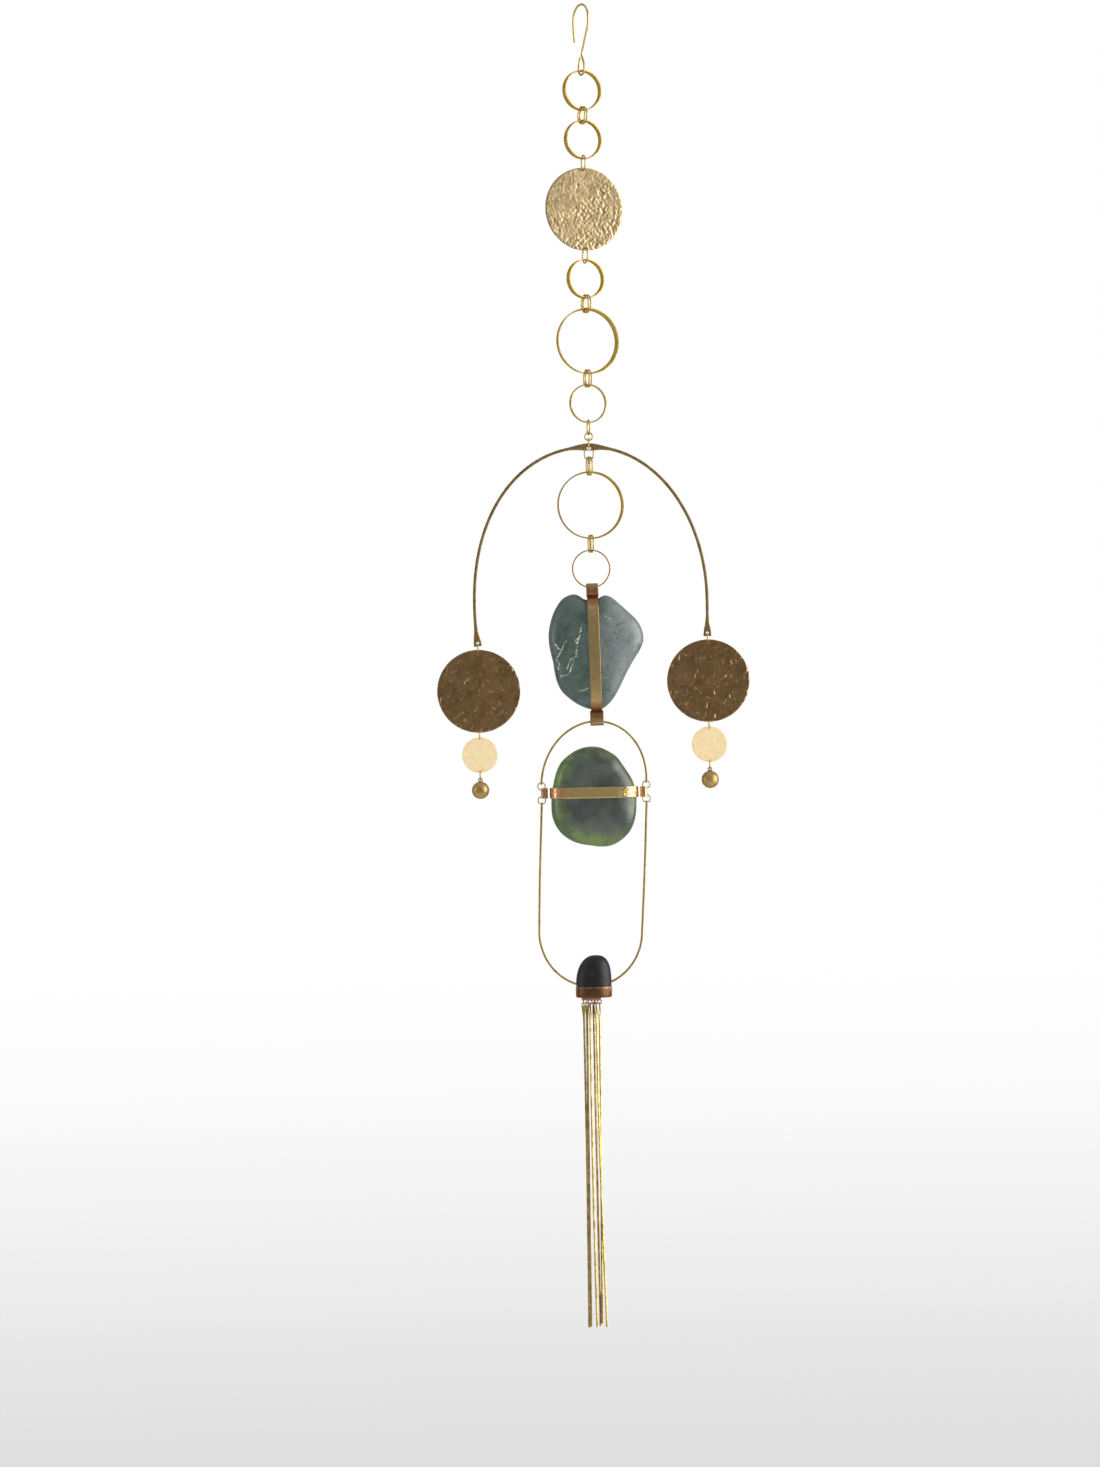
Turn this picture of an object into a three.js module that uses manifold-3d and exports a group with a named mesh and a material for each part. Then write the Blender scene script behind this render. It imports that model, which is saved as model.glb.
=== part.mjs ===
// Hanging mobile: a chain of brass rings and a disc, a forged arch with two pendants,
// two bound stones in a hinged oval frame, a capped base stone and a tassel of wires.
// Millimetres, +Z up. The origin is the inside of the hook's crown, where the rail lies.
// The front faces -Y. "Yaw" turns a piece about Z so that its front swings towards +X.
import * as THREE from 'three';
import { mergeVertices } from 'three/addons/utils/BufferGeometryUtils.js';
import Module from 'manifold-3d';

const wasm = await Module();
wasm.setup();

// ---------- driving dimensions ----------
const CLEARANCE = 0.36;            // free gap between two linked pieces
const WIRE = 1.15;                 // jump ring wire
const PENDANT_WIRE = 1.0;
const SIDE_WIRE = 0.9;
const SHEET = 0.8;                 // strap and band strip
const DISC_SHEET = 1.0;
const DISC_HOLE_RADIUS = 1.3;

const HOOK = {
  wire: 1.5, halfWidth: 12.1, railRadius: 10, yaw: 27, neck: -37.3, eyeBottom: -53.3, eyeHalf: 4.6,
};

const BAND = 1.0;                  // radial thickness of the chain rings
const SMALL_RING_SIDES = 24;
const LARGE_RING_SIDES = 32;
const CHAIN_RINGS = {
  1: { diameter: 30.6, width: 5.6, yaw: 24, flare: 0.0 },
  2: { diameter: 29.7, width: 5.6, yaw: 24, flare: 0.0 },
  3: { diameter: 30.0, width: 5.8, yaw: 26, flare: 0.0 },
  4: { diameter: 49.8, width: 5.4, yaw: 22, flare: 0.15 },
  5: { diameter: 29.6, width: 2.8, yaw: 20, flare: 0.0 },
  6: { diameter: 51.2, width: 4.8, yaw: 13, flare: 0.1 },
  7: { diameter: 29.4, width: 1.9, yaw: 7, flare: 0.0 },
};

// outside diameter and yaw of the jump rings, from the top; a pair has a second ring beside it
const PAIR_PITCH = 1.65;
const PAIR_SPLAY = 2;
const LINKS = {
  1: { diameter: 13.78, yaw: 24, pair: true },
  2: { diameter: 12.6, yaw: 14 },
  3: { diameter: 12.45, yaw: 19 },
  4: { diameter: 14.35, yaw: 24, pair: true },
  5: { diameter: 13.9, yaw: 20, pair: true },
  6: { diameter: 12.2, yaw: 9 },
  10: { diameter: 14.7, yaw: 12, pair: true },
  11: { diameter: 13.9, yaw: 10, pair: true },
};
const FACE_LINK = { diameter: 6.9, wire: 1.1 };
const ARCH_LINK = { diameter: 8.8, wire: 1.1 };
const OVAL_LINK = { width: 7.8, height: 11.4, wire: 1.1 };

const CHAIN_DISC = { diameter: 62.8, holeInset: 2.3, yaw: 20 };

const ARCH = {
  rod: 2.3, apexHeight: 5.8, apexSheet: 1.2, apexTaper: 17, apexHole: 1.65,
  paddleWidth: 6.1, paddleSheet: 1.1, paddleTaper: 17, paddleHole: 1.1, holeInset: 2.4,
  forward: 1.93,
  left: { halfWidth: 89.1, fullness: 2.15, drop: 118, leg: 149.7, pinch: 2.1 },
  right: { halfWidth: 87.4, fullness: 2.02, drop: 117, leg: 145.2, pinch: 0.3 },
};

const PENDANT = {
  disc: { left: 63.0, right: 62.6 }, discHoleInset: 2.2, holeRadius: 1.2,
  smallDisc: 27.0, smallHoleInset: 1.9, ball: 13.2, eyeRadius: 1.45, eyeWire: 0.9,
  rings: [7.6, 7.8, 7.9],
};

const STRAP = { width: 8.4, topLoopWidth: 9.3, bottomLoopWidth: 10.3, loopDepth: 6.6, lean: 1.0 };
// heights from the upper stone's middle: the strap's two loops and the two ends of its seat on the stone
const STRAP_HEIGHTS = { loopTop: 52.1, seatTop: 41.5, seatFoot: -44.3, loopFoot: -55.9 };
const STRAP_GAP = 0.62;            // between a stone and the strap or band round it
const UPPER_STONE = { halfDepth: 13.5, roundness: 2.4 };
// outline about the stone's middle; the dips at its top and foot seat the strap
const UPPER_OUTLINE = [
  [-14.5, 44.3], [-19.5, 43], [-23.6, 40.4], [-29.2, 32.4], [-32.6, 23.6], [-34.3, 15.3], [-34.3, 7.3],
  [-33.2, 0], [-31.7, -7], [-30.9, -13.7], [-29.4, -21.3], [-26, -28.8], [-20.1, -34.8], [-13, -39.9],
  [-5, -43.2], [4.3, -43.2], [12, -36.9], [17, -29.5], [23.5, -17.1], [29.9, -6.4], [34.4, 0.2],
  [37.4, 8], [36.4, 16.1], [32.4, 23.6], [26.6, 29.6], [20.5, 35.5], [13.6, 41.4], [8.6, 42.6],
  [4.3, 40.6], [-2, 39.6], [-6.6, 40.4], [-10.5, 43.2],
];

const OVAL_X = -1.15;              // the oval frame hangs a little to the left
const HOOP = { halfWidth: 39.8, height: 45.9, sheet: 1.6, width: 2.8, lean: 3.3, holeHeight: 0.25 };
const SIDE_LINK_RADIUS = 2.82;     // to the middle of the wire
const SIDE_HOLE_RADIUS = 1.1;
const SIDE_HOLE_INSET = 1.65;      // from the band's edge to the middle of each hole for a side link
const BAND_HEIGHT = 8.1;
const BAND_OFFSET = 3.6;           // height of the band's middle over the stone's middle
const BAND_LOOP = { length: 5.2, depth: 5.0 };
const BAND_REACH = 32.92;          // from the stone's middle to the band's inside at either end
const MIDDLE_STONE = { halfDepth: 13.5, roundness: 2.3 };
const MIDDLE_OUTLINE = [
  [-4, 38.4], [4, 38], [11.3, 34.9], [17.6, 30.4], [22, 24.4], [29.1, 12.9], [31.2, 6], [32.1, -0.5],
  [32, -6.8], [31.3, -14], [29.3, -21.3], [25.3, -28.1], [19.3, -33.4], [12, -36.9], [4, -37.6],
  [-3.8, -36.5], [-11.4, -35.1], [-18.6, -32.2], [-24.8, -27.6], [-29.4, -21.3], [-32, -14.2],
  [-32.6, -6.9], [-32.4, 0], [-31.5, 7], [-30.1, 13.4], [-28.1, 20.4], [-24.4, 27.1], [-18.7, 32.4],
  [-11.8, 36.4],
];
const FRAME = { sheet: 1.7, width: 2.6, straight: 98.6, halfWidth: 39.0, bowl: 41.5, lean: 4.6 };

const BASE_STONE = {
  halfWidth: 13.5, halfDepth: 10.5, dome: 23.2, step: 1.2, seat: 6.6, peak: 1.9, offset: 1.6,
};
const CAP = { height: 8.3, sheet: 0.9, floor: 1.0, tabWidth: 14.2, tabDrop: 2.3, tabDepth: 2.6 };
const EYE = { radius: 1.5, wire: 0.8 };
const TASSEL = { paddle: 3.3, paddleSheet: 0.7, paddleLength: 10.5, wide: 1.65, thin: 1.25, length: 246.6 };
// across is the x of each wire at its top, middle and foot, measured from the base stone's middle;
// lane is how far in front (-) or behind (+) it hangs, turn is the yaw of its paddle
const TASSEL_WIRES = [
  { across: [-8.1, -7.8, -8.6], lane: [-0.9, -1.7], turn: 0, lift: 0 },
  { across: [-5.5, -6.4, -7.1], lane: [0.9, 1.5], turn: 0, lift: 0 },
  { across: [-3.1, -3.4, -2.4], lane: [-0.9, -1.9], turn: 72, lift: 0 },
  { across: [-0.5, -0.3, 0.1], lane: [0.9, 2.4], turn: 60, lift: 0.3 },
  { across: [1.5, 2.4, 5.1], lane: [-0.9, -1.2], turn: 78, lift: 0 },
  { across: [4.1, 3.0, 1.3], lane: [0.9, 1.0], turn: 78, lift: 2.3 },
];

// ---------- finishes ----------
function metal(color, roughness = 0.35) {
  return new THREE.MeshStandardMaterial({ color, roughness, metalness: 1.0 });
}
const FINISH = {
  bright: metal(0xc8a550, 0.28),
  dull: metal(0x826a3c, 0.45),
  bronze: metal(0x6e5532, 0.42),
  pale: metal(0xecd2a0, 0.38),
  tan: metal(0xaa9164, 0.4),
  copper: metal(0x96784b, 0.4),
  cap: metal(0x64462d, 0.5),
  jade: new THREE.MeshStandardMaterial({ color: 0x5f7a6c, roughness: 0.45, metalness: 0.0 }),
  greenJade: new THREE.MeshStandardMaterial({ color: 0x56624a, roughness: 0.4, metalness: 0.0 }),
  basalt: new THREE.MeshStandardMaterial({ color: 0x1c1c1d, roughness: 0.5, metalness: 0.0 }),
};

// ---------- geometry helpers ----------
const mobile = new THREE.Group();
const radians = THREE.MathUtils.degToRad;
const X_AXIS = new THREE.Vector3(1, 0, 0);
const Y_AXIS = new THREE.Vector3(0, 1, 0);
const Z_AXIS = new THREE.Vector3(0, 0, 1);

function addPiece(name, geometry, material, parent = mobile) {
  const piece = new THREE.Mesh(geometry, material);
  piece.name = name;
  parent.add(piece);
  return piece;
}

function addGroup(x, y, z, parent = mobile) {
  const group = new THREE.Group();
  group.position.set(x, y, z);
  parent.add(group);
  return group;
}

// a closed triangle mesh from points and faces, turned inside out if its volume is negative
function closedSolid(points, faces) {
  const volume = faces.reduce((sum, [a, b, c]) => sum + points[a].dot(points[b].clone().cross(points[c])), 0);
  const index = volume > 0 ? faces.flat() : faces.flatMap(([a, b, c]) => [a, c, b]);
  const geometry = new THREE.BufferGeometry();
  geometry.setAttribute('position', new THREE.Float32BufferAttribute(points.flatMap((p) => p.toArray()), 3));
  geometry.setIndex(index);
  geometry.computeVertexNormals();
  return geometry;
}

// a skin over a row of equal rings of points, closed by a flat fan at each end
function loft(rings) {
  const sides = rings[0].length;
  const faces = [];
  for (let k = 0; k + 1 < rings.length; k += 1) {
    for (let i = 0; i < sides; i += 1) {
      const j = (i + 1) % sides;
      const [a, b, c, d] = [k * sides + i, k * sides + j, (k + 1) * sides + i, (k + 1) * sides + j];
      faces.push([a, b, d], [a, d, c]);
    }
  }
  const last = (rings.length - 1) * sides;
  for (let i = 1; i + 1 < sides; i += 1) {
    faces.push([0, i + 1, i], [last, last + i, last + i + 1]);
  }
  return closedSolid(rings.flat(), faces);
}

// one cross-section of a bar: "across" and "through" are unit directions, width and sheet its sizes
function section(centre, across, through, width, sheet, sides) {
  const reach = 1 / Math.cos(Math.PI / sides);
  return Array.from({ length: sides }, (_, i) => {
    const turn = (2 * Math.PI * (i + 0.5)) / sides;
    return centre.clone()
      .addScaledVector(across, (width / 2) * reach * Math.cos(turn))
      .addScaledVector(through, (sheet / 2) * reach * Math.sin(turn));
  });
}

// a bar along a path that lies in one plane; normal is that plane's direction
function planarBar(points, normal, widthAt, sheetAt, sides) {
  const rings = points.map((point, i) => {
    const before = points[Math.max(i - 1, 0)];
    const after = points[Math.min(i + 1, points.length - 1)];
    const along = after.clone().sub(before).normalize();
    const across = along.clone().cross(normal).normalize();
    const share = i / (points.length - 1);
    return section(point, across, normal, widthAt(share, point), sheetAt(share, point), sides);
  });
  return loft(rings);
}

// a ring of round wire about the Y axis; an oval has a straight stretch between its two ends
function wireRing(outsideDiameter, wire, around = 12, sides = 5) {
  const middle = (outsideDiameter - wire) / 2;
  const profile = Array.from({ length: sides + 1 }, (_, i) => {
    const turn = (2 * Math.PI * (i % sides)) / sides;
    return new THREE.Vector2(middle + (wire / 2) * Math.cos(turn), (wire / 2) * Math.sin(turn));
  });
  return new THREE.LatheGeometry(profile, around);
}

function ovalRing(width, height, wire, around = 14, sides = 6) {
  const middle = (width - wire) / 2;
  const stretch = (height - width) / 2;
  const points = Array.from({ length: around }, (_, i) => {
    const turn = (2 * Math.PI * (i + 0.5)) / around;
    const z = middle * Math.sin(turn) + stretch * Math.sign(Math.sin(turn));
    return new THREE.Vector3(middle * Math.cos(turn), 0, z);
  });
  const rings = points.map((point, i) => {
    const before = points[(i + around - 1) % around];
    const after = points[(i + 1) % around];
    const outward = Y_AXIS.clone().cross(after.clone().sub(before)).normalize();
    return section(point, outward, Y_AXIS, wire, wire, sides);
  });
  const faces = [];
  for (let k = 0; k < around; k += 1) {
    for (let i = 0; i < sides; i += 1) {
      const [j, m] = [(i + 1) % sides, (k + 1) % around];
      const [near, far] = [k * sides, m * sides];
      faces.push([near + i, near + j, far + j], [near + i, far + j, far + i]);
    }
  }
  return closedSolid(rings.flat(), faces);
}

// a strip bent into a hoop about the Y axis; flare widens its front rim and narrows the back one
function bandRing({ diameter, width, flare }, around) {
  const [outer, inner, half] = [diameter / 2, diameter / 2 - BAND, width / 2];
  const cone = flare * half;
  const corners = [[inner + cone, -half], [outer + cone, -half], [outer - cone, half], [inner - cone, half]];
  const profile = [...corners, corners[0]].map(([x, y]) => new THREE.Vector2(x, y));
  return new THREE.LatheGeometry(profile, around);
}

function toManifold(geometry) {
  const bare = geometry.clone();
  bare.deleteAttribute('normal');
  bare.deleteAttribute('uv');
  const merged = mergeVertices(bare, 1e-4);
  const vertProperties = new Float32Array(merged.attributes.position.array);
  const triVerts = new Uint32Array(merged.index.array);
  return new wasm.Manifold(new wasm.Mesh({ numProp: 3, vertProperties, triVerts }));
}

function fromManifold(solid) {
  const { vertProperties, triVerts } = solid.getMesh();
  const geometry = new THREE.BufferGeometry();
  geometry.setAttribute('position', new THREE.Float32BufferAttribute(vertProperties, 3));
  geometry.setIndex(Array.from(triVerts));
  geometry.computeVertexNormals();
  return geometry;
}

function join(geometries) {
  return fromManifold(geometries.map(toManifold).reduce((all, one) => all.add(one)));
}

function cut(geometry, tools) {
  return fromManifold(tools.map(toManifold).reduce((all, tool) => all.subtract(tool), toManifold(geometry)));
}

// a drill bit through (x, y, z) along the given axis
function drill(radius, length, axis, x, y, z, sides = 10) {
  const bit = new THREE.CylinderGeometry(radius, radius, length, sides);
  if (axis === 'x') bit.rotateZ(Math.PI / 2);
  return bit.translate(x, y, z);
}

// a shape drawn in X-Z, made into a plate of the given depth centred on Y = 0
function plate(shape, depth) {
  const geometry = new THREE.ExtrudeGeometry(shape, { depth, bevelEnabled: false, curveSegments: 5 });
  return geometry.rotateX(Math.PI / 2).translate(0, depth / 2, 0);
}

// a flat disc facing -Y with a hole near its top and its bottom
function piercedDisc(diameter, holeRadius, holeInset, around = 32) {
  const shape = new THREE.Shape();
  for (let i = 0; i < around; i += 1) {
    const turn = (2 * Math.PI * i) / around;
    shape[i ? 'lineTo' : 'moveTo']((diameter / 2) * Math.cos(turn), (diameter / 2) * Math.sin(turn));
  }
  for (const side of [1, -1]) {
    const hole = new THREE.Path();
    hole.absarc(0, side * (diameter / 2 - holeInset), holeRadius, 0, 2 * Math.PI, true);
    shape.holes.push(hole);
  }
  return plate(shape, DISC_SHEET);
}

// ---------- the chain ----------
// how far a jump ring's inside stands off a flat band that it passes round
function standOff(innerRadius, { width }) {
  const free = innerRadius - CLEARANCE;
  return innerRadius - Math.sqrt(free * free - (width * width) / 4);
}

function bandReach(ring) {
  return ring.diameter / 2 - BAND - (ring.flare * ring.width) / 2;
}

function hangChainRing(number, topOfInside, around) {
  const ring = CHAIN_RINGS[number];
  const centre = topOfInside - bandReach(ring);
  const piece = addPiece(`chain_ring_${number}`, bandRing(ring, around), FINISH.bright);
  piece.position.set(0, 0, centre);
  piece.rotation.z = radians(ring.yaw);
  return centre - bandReach(ring);
}

// hangs a jump ring, or a pair side by side, with its inside reaching up to "top"
function hangLink(number, top) {
  const { diameter, yaw, pair } = LINKS[number];
  const centre = top - (diameter / 2 - WIRE);
  const sides = pair ? [-1, 1] : [0];
  for (const side of sides) {
    const suffix = pair ? (side < 0 ? 'a' : 'b') : '';
    const piece = addPiece(`jump_ring_${number}${suffix}`, wireRing(diameter, WIRE), FINISH.bright);
    const turn = radians(yaw + (side * PAIR_SPLAY) / 2);
    const shift = (side * PAIR_PITCH) / 2;
    piece.position.set(shift * Math.cos(radians(yaw)), shift * Math.sin(radians(yaw)), centre);
    piece.rotation.z = Math.PI / 2 + turn;
  }
  return centre - (diameter / 2 - WIRE);
}

function linkInnerRadius(number) {
  return LINKS[number].diameter / 2 - WIRE;
}

function buildHook() {
  const { wire, halfWidth, railRadius, yaw, neck, eyeBottom, eyeHalf } = HOOK;
  const crown = railRadius + wire / 2;
  const arc = Array.from({ length: 11 }, (_, i) => {
    const turn = Math.PI * (1 - i / 10);
    return [halfWidth * Math.cos(turn), -railRadius + crown * Math.sin(turn)];
  });
  const eyeMiddle = eyeBottom + wire / 2 + eyeHalf * 1.05;
  const eye = [
    [eyeHalf * 0.8, eyeMiddle + 4.4],
    [eyeHalf, eyeMiddle + 0.3],
    [eyeHalf * 0.72, eyeMiddle - eyeHalf * 0.78],
    [0, eyeBottom + wire / 2],
    [-eyeHalf * 0.72, eyeMiddle - eyeHalf * 0.78],
    [-eyeHalf, eyeMiddle + 0.3],
    [-eyeHalf * 0.8, eyeMiddle + 4.4],
    [-1.9, neck - 1.8],
  ];
  const front = [[11.3, -17.2], [8.9, -21.4], [4.6, -29.5], [0.9, neck]];
  const route = [[-10.6, -26.1], [-11.5, -19.5], ...arc, ...front, ...eye];
  const points = route.map(([u, z]) => new THREE.Vector3(u, 0, z));
  const curve = new THREE.CatmullRomCurve3(points, false, 'centripetal');
  const geometry = planarBar(curve.getSpacedPoints(46), Y_AXIS, () => wire, () => wire, 5);
  const hook = addPiece('hanging_hook', geometry, FINISH.bright);
  hook.rotation.z = radians(yaw - 90);
  return eyeBottom + wire;
}

function buildArchLinks(top) {
  const innerRadius = FACE_LINK.diameter / 2 - FACE_LINK.wire;
  const faceLink = addPiece('jump_ring_7', wireRing(FACE_LINK.diameter, FACE_LINK.wire), FINISH.bright);
  faceLink.position.z = top - innerRadius;
  const archLink = addPiece('jump_ring_8', wireRing(ARCH_LINK.diameter, ARCH_LINK.wire), FINISH.bright);
  const reach = ARCH_LINK.diameter / 2 - ARCH_LINK.wire;
  archLink.position.z = top - 2 * innerRadius + CLEARANCE - reach;
  archLink.rotation.z = Math.PI / 2;
  const ovalGeometry = ovalRing(OVAL_LINK.width, OVAL_LINK.height, OVAL_LINK.wire);
  const oval = addPiece('jump_ring_9', ovalGeometry, FINISH.bright);
  const ovalTop = archLink.position.z - reach + 2 * CLEARANCE + OVAL_LINK.wire;
  oval.position.set(0, 0.6, ovalTop - OVAL_LINK.height / 2);
  const middle = (ARCH_LINK.diameter - ARCH_LINK.wire) / 2;
  return {
    holeHeight: archLink.position.z - Math.sqrt(middle * middle - ARCH.forward * ARCH.forward),
    ovalBottom: ovalTop - OVAL_LINK.height + OVAL_LINK.wire,
  };
}

const eyeInside = buildHook();
const eyeRadius = HOOK.eyeHalf - HOOK.wire / 2;
let height = hangChainRing(1, eyeInside + standOff(eyeRadius, CHAIN_RINGS[1]), SMALL_RING_SIDES);
height = hangLink(1, height + standOff(linkInnerRadius(1), CHAIN_RINGS[1]));
height = hangChainRing(2, height + standOff(linkInnerRadius(1), CHAIN_RINGS[2]), SMALL_RING_SIDES);
height = hangLink(2, height + standOff(linkInnerRadius(2), CHAIN_RINGS[2]));

const discRadius = CHAIN_DISC.diameter / 2;
const discHole = discRadius - CHAIN_DISC.holeInset;
const discCentre = height - WIRE / 2 - (DISC_HOLE_RADIUS - WIRE / 2 - CLEARANCE) - discHole;
const discGeometry = piercedDisc(CHAIN_DISC.diameter, DISC_HOLE_RADIUS, CHAIN_DISC.holeInset);
const chainDisc = addPiece('chain_disc', discGeometry, FINISH.tan);
chainDisc.position.z = discCentre;
chainDisc.rotation.z = radians(CHAIN_DISC.yaw);

height = hangLink(3, discCentre - discHole - (DISC_HOLE_RADIUS - WIRE - CLEARANCE) - WIRE);
height = hangChainRing(3, height + standOff(linkInnerRadius(3), CHAIN_RINGS[3]), SMALL_RING_SIDES);
height = hangLink(4, height + standOff(linkInnerRadius(4), CHAIN_RINGS[3]));
height = hangChainRing(4, height + standOff(linkInnerRadius(4), CHAIN_RINGS[4]), LARGE_RING_SIDES);
height = hangLink(5, height + standOff(linkInnerRadius(5), CHAIN_RINGS[4]));
height = hangChainRing(5, height + standOff(linkInnerRadius(5), CHAIN_RINGS[5]), SMALL_RING_SIDES);
height = hangLink(6, height + standOff(linkInnerRadius(6), CHAIN_RINGS[5]));
const { holeHeight: archHoleHeight, ovalBottom } = buildArchLinks(height + CLEARANCE);
height = hangLink(10, ovalBottom + 2.4 * CLEARANCE);
height = hangChainRing(6, height + standOff(linkInnerRadius(10), CHAIN_RINGS[6]), LARGE_RING_SIDES);
height = hangLink(11, height + standOff(linkInnerRadius(11), CHAIN_RINGS[6]));
height = hangChainRing(7, height + standOff(linkInnerRadius(11), CHAIN_RINGS[7]), SMALL_RING_SIDES);

// ---------- the arch ----------
// one side from the apex to its foot: a quarter of a superellipse, then a leg that pinches in
function archSide({ halfWidth, fullness, drop, leg, pinch }, steps = 11) {
  const bend = Array.from({ length: steps }, (_, i) => {
    const turn = (Math.PI / 2) * ((i + 1) / steps);
    return [halfWidth * Math.sin(turn) ** (2 / fullness), -drop * (1 - Math.cos(turn) ** (2 / fullness))];
  });
  const legLength = leg - drop;
  const straight = [0.3, 0.55, 0.78, 1]
    .map((share) => [halfWidth - pinch * share * share, -drop - legLength * share]);
  return [...bend, ...straight];
}

function buildArch() {
  const sides = { left: archSide(ARCH.left), right: archSide(ARCH.right) };
  const corners = [...sides.left.map(([x, z]) => [-x, z]).reverse(), [0, 0], ...sides.right];
  const points = corners.map(([x, z]) => new THREE.Vector3(x, 0, z));
  const ease = (distance, taper) => THREE.MathUtils.smoothstep(distance, 0, taper);
  const footHeight = (point) => (point.x < 0 ? ARCH.left.leg : ARCH.right.leg) + point.z;
  const mix = (apex, rod, foot) => (share, point) => {
    const nearApex = 1 - ease(Math.abs(point.x), ARCH.apexTaper);
    const nearFoot = 1 - ease(footHeight(point), ARCH.paddleTaper);
    return rod + (apex - rod) * nearApex + (foot - rod) * nearFoot;
  };
  const bar = planarBar(points, Y_AXIS, mix(ARCH.apexHeight, ARCH.rod, ARCH.paddleWidth),
    mix(ARCH.apexSheet, ARCH.rod, ARCH.paddleSheet), 6);
  const foot = (side) => ({ x: side.halfWidth - side.pinch * 0.92, z: -side.leg + ARCH.holeInset });
  const [left, right] = [foot(ARCH.left), foot(ARCH.right)];
  const geometry = cut(bar, [
    drill(ARCH.apexHole, 6, 'y', 0, 0, -0.6),
    drill(ARCH.paddleHole, 6, 'y', -left.x, 0, left.z),
    drill(ARCH.paddleHole, 6, 'y', right.x, 0, right.z),
  ]);
  const arch = addPiece('arch', geometry, FINISH.dull);
  arch.position.set(0, -ARCH.forward, archHoleHeight + 0.6);
  return {
    left: { x: -left.x, z: arch.position.z + left.z },
    right: { x: right.x, z: arch.position.z + right.z },
  };
}

// ---------- the pendants ----------
// a jump ring whose wire passes through two holes; returns the height of the lower hole
function hangPendantRing(name, diameter, upperHole, slack, parent) {
  const ring = addPiece(name, wireRing(diameter, PENDANT_WIRE), FINISH.bright, parent);
  const middle = (diameter - PENDANT_WIRE) / 2;
  ring.position.z = upperHole - slack - middle;
  ring.rotation.z = Math.PI / 2;
  return ring.position.z - middle - slack;
}

function ballWithEye() {
  const radius = PENDANT.ball / 2;
  const ball = new THREE.SphereGeometry(radius, 12, 8).rotateX(Math.PI / 2);
  const eye = wireRing(2 * PENDANT.eyeRadius + PENDANT.eyeWire, PENDANT.eyeWire, 8);
  eye.translate(0, 0, radius + PENDANT.eyeRadius - 0.3);
  return join([ball, eye]);
}

function buildPendant(side, start) {
  const pendant = addGroup(start.x, -ARCH.forward, 0);
  const [upper, middle, lower] = PENDANT.rings;
  const slack = ARCH.paddleHole - 0.5 - CLEARANCE;
  let hole = hangPendantRing(`${side}_pendant_ring_1`, upper, start.z, slack, pendant);
  const diameter = PENDANT.disc[side];
  const discShape = piercedDisc(diameter, PENDANT.holeRadius, PENDANT.discHoleInset, 32);
  const disc = addPiece(`${side}_large_disc`, discShape, FINISH.bronze, pendant);
  disc.position.z = hole - (diameter / 2 - PENDANT.discHoleInset);
  hole = disc.position.z - (diameter / 2 - PENDANT.discHoleInset);
  hole = hangPendantRing(`${side}_pendant_ring_2`, middle, hole, 0.35, pendant);
  const smallShape = piercedDisc(PENDANT.smallDisc, PENDANT.holeRadius, PENDANT.smallHoleInset, 24);
  const small = addPiece(`${side}_small_disc`, smallShape, FINISH.pale, pendant);
  small.position.z = hole - (PENDANT.smallDisc / 2 - PENDANT.smallHoleInset);
  hole = small.position.z - (PENDANT.smallDisc / 2 - PENDANT.smallHoleInset);
  hole = hangPendantRing(`${side}_pendant_ring_3`, lower, hole, 0.3, pendant);
  const ball = addPiece(`${side}_ball`, ballWithEye(), FINISH.bright, pendant);
  ball.position.z = hole + 0.15 - (PENDANT.ball / 2 + PENDANT.eyeRadius - 0.3);
}

const feet = buildArch();
buildPendant('left', feet.left);
buildPendant('right', feet.right);

// ---------- stones ----------
// the outline of a stone as a distance from its middle in every direction
function outlineRadius(points) {
  const corners = points.map(([x, z]) => new THREE.Vector3(x, 0, z));
  const curve = new THREE.CatmullRomCurve3(corners, true, 'centripetal');
  const polar = curve.getSpacedPoints(240).slice(0, -1)
    .map((p) => [Math.atan2(p.z, p.x), Math.hypot(p.x, p.z)])
    .sort((a, b) => a[0] - b[0]);
  return (angle) => {
    const turn = Math.atan2(Math.sin(angle), Math.cos(angle));
    const next = polar.findIndex(([at]) => at > turn);
    const [b, a] = next <= 0 ? [polar[0], polar[polar.length - 1]] : [polar[next], polar[next - 1]];
    const span = (b[0] - a[0] + 2 * Math.PI) % (2 * Math.PI);
    const share = ((turn - a[0] + 2 * Math.PI) % (2 * Math.PI)) / span;
    return a[1] + (b[1] - a[1]) * share;
  };
}

// half the thickness of a pebble at a point of its outline's plane, or 0 outside it
function pebbleDepth(radiusAt, { halfDepth, roundness }, x, z) {
  const share = Math.hypot(x, z) / radiusAt(Math.atan2(z, x));
  return share >= 1 ? 0 : halfDepth * (1 - share ** roundness) ** (1 / roundness);
}

function pebble(radiusAt, { halfDepth, roundness }, around = 28, layers = 9) {
  const points = [new THREE.Vector3(0, -halfDepth, 0)];
  for (let k = 1; k < layers; k += 1) {
    const y = -Math.cos((Math.PI * k) / layers);
    const share = (1 - Math.abs(y) ** roundness) ** (1 / roundness);
    for (let i = 0; i < around; i += 1) {
      const turn = (2 * Math.PI * i) / around;
      const reach = share * radiusAt(turn);
      points.push(new THREE.Vector3(reach * Math.cos(turn), y * halfDepth, reach * Math.sin(turn)));
    }
  }
  points.push(new THREE.Vector3(0, halfDepth, 0));
  const last = points.length - 1;
  const faces = [];
  for (let i = 0; i < around; i += 1) {
    const j = (i + 1) % around;
    faces.push([0, 1 + i, 1 + j], [last, last - around + j, last - around + i]);
    for (let k = 0; k + 2 < layers; k += 1) {
      const [a, b] = [1 + k * around, 1 + (k + 1) * around];
      faces.push([a + i, b + i, b + j], [a + i, b + j, a + j]);
    }
  }
  return closedSolid(points, faces);
}

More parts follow.
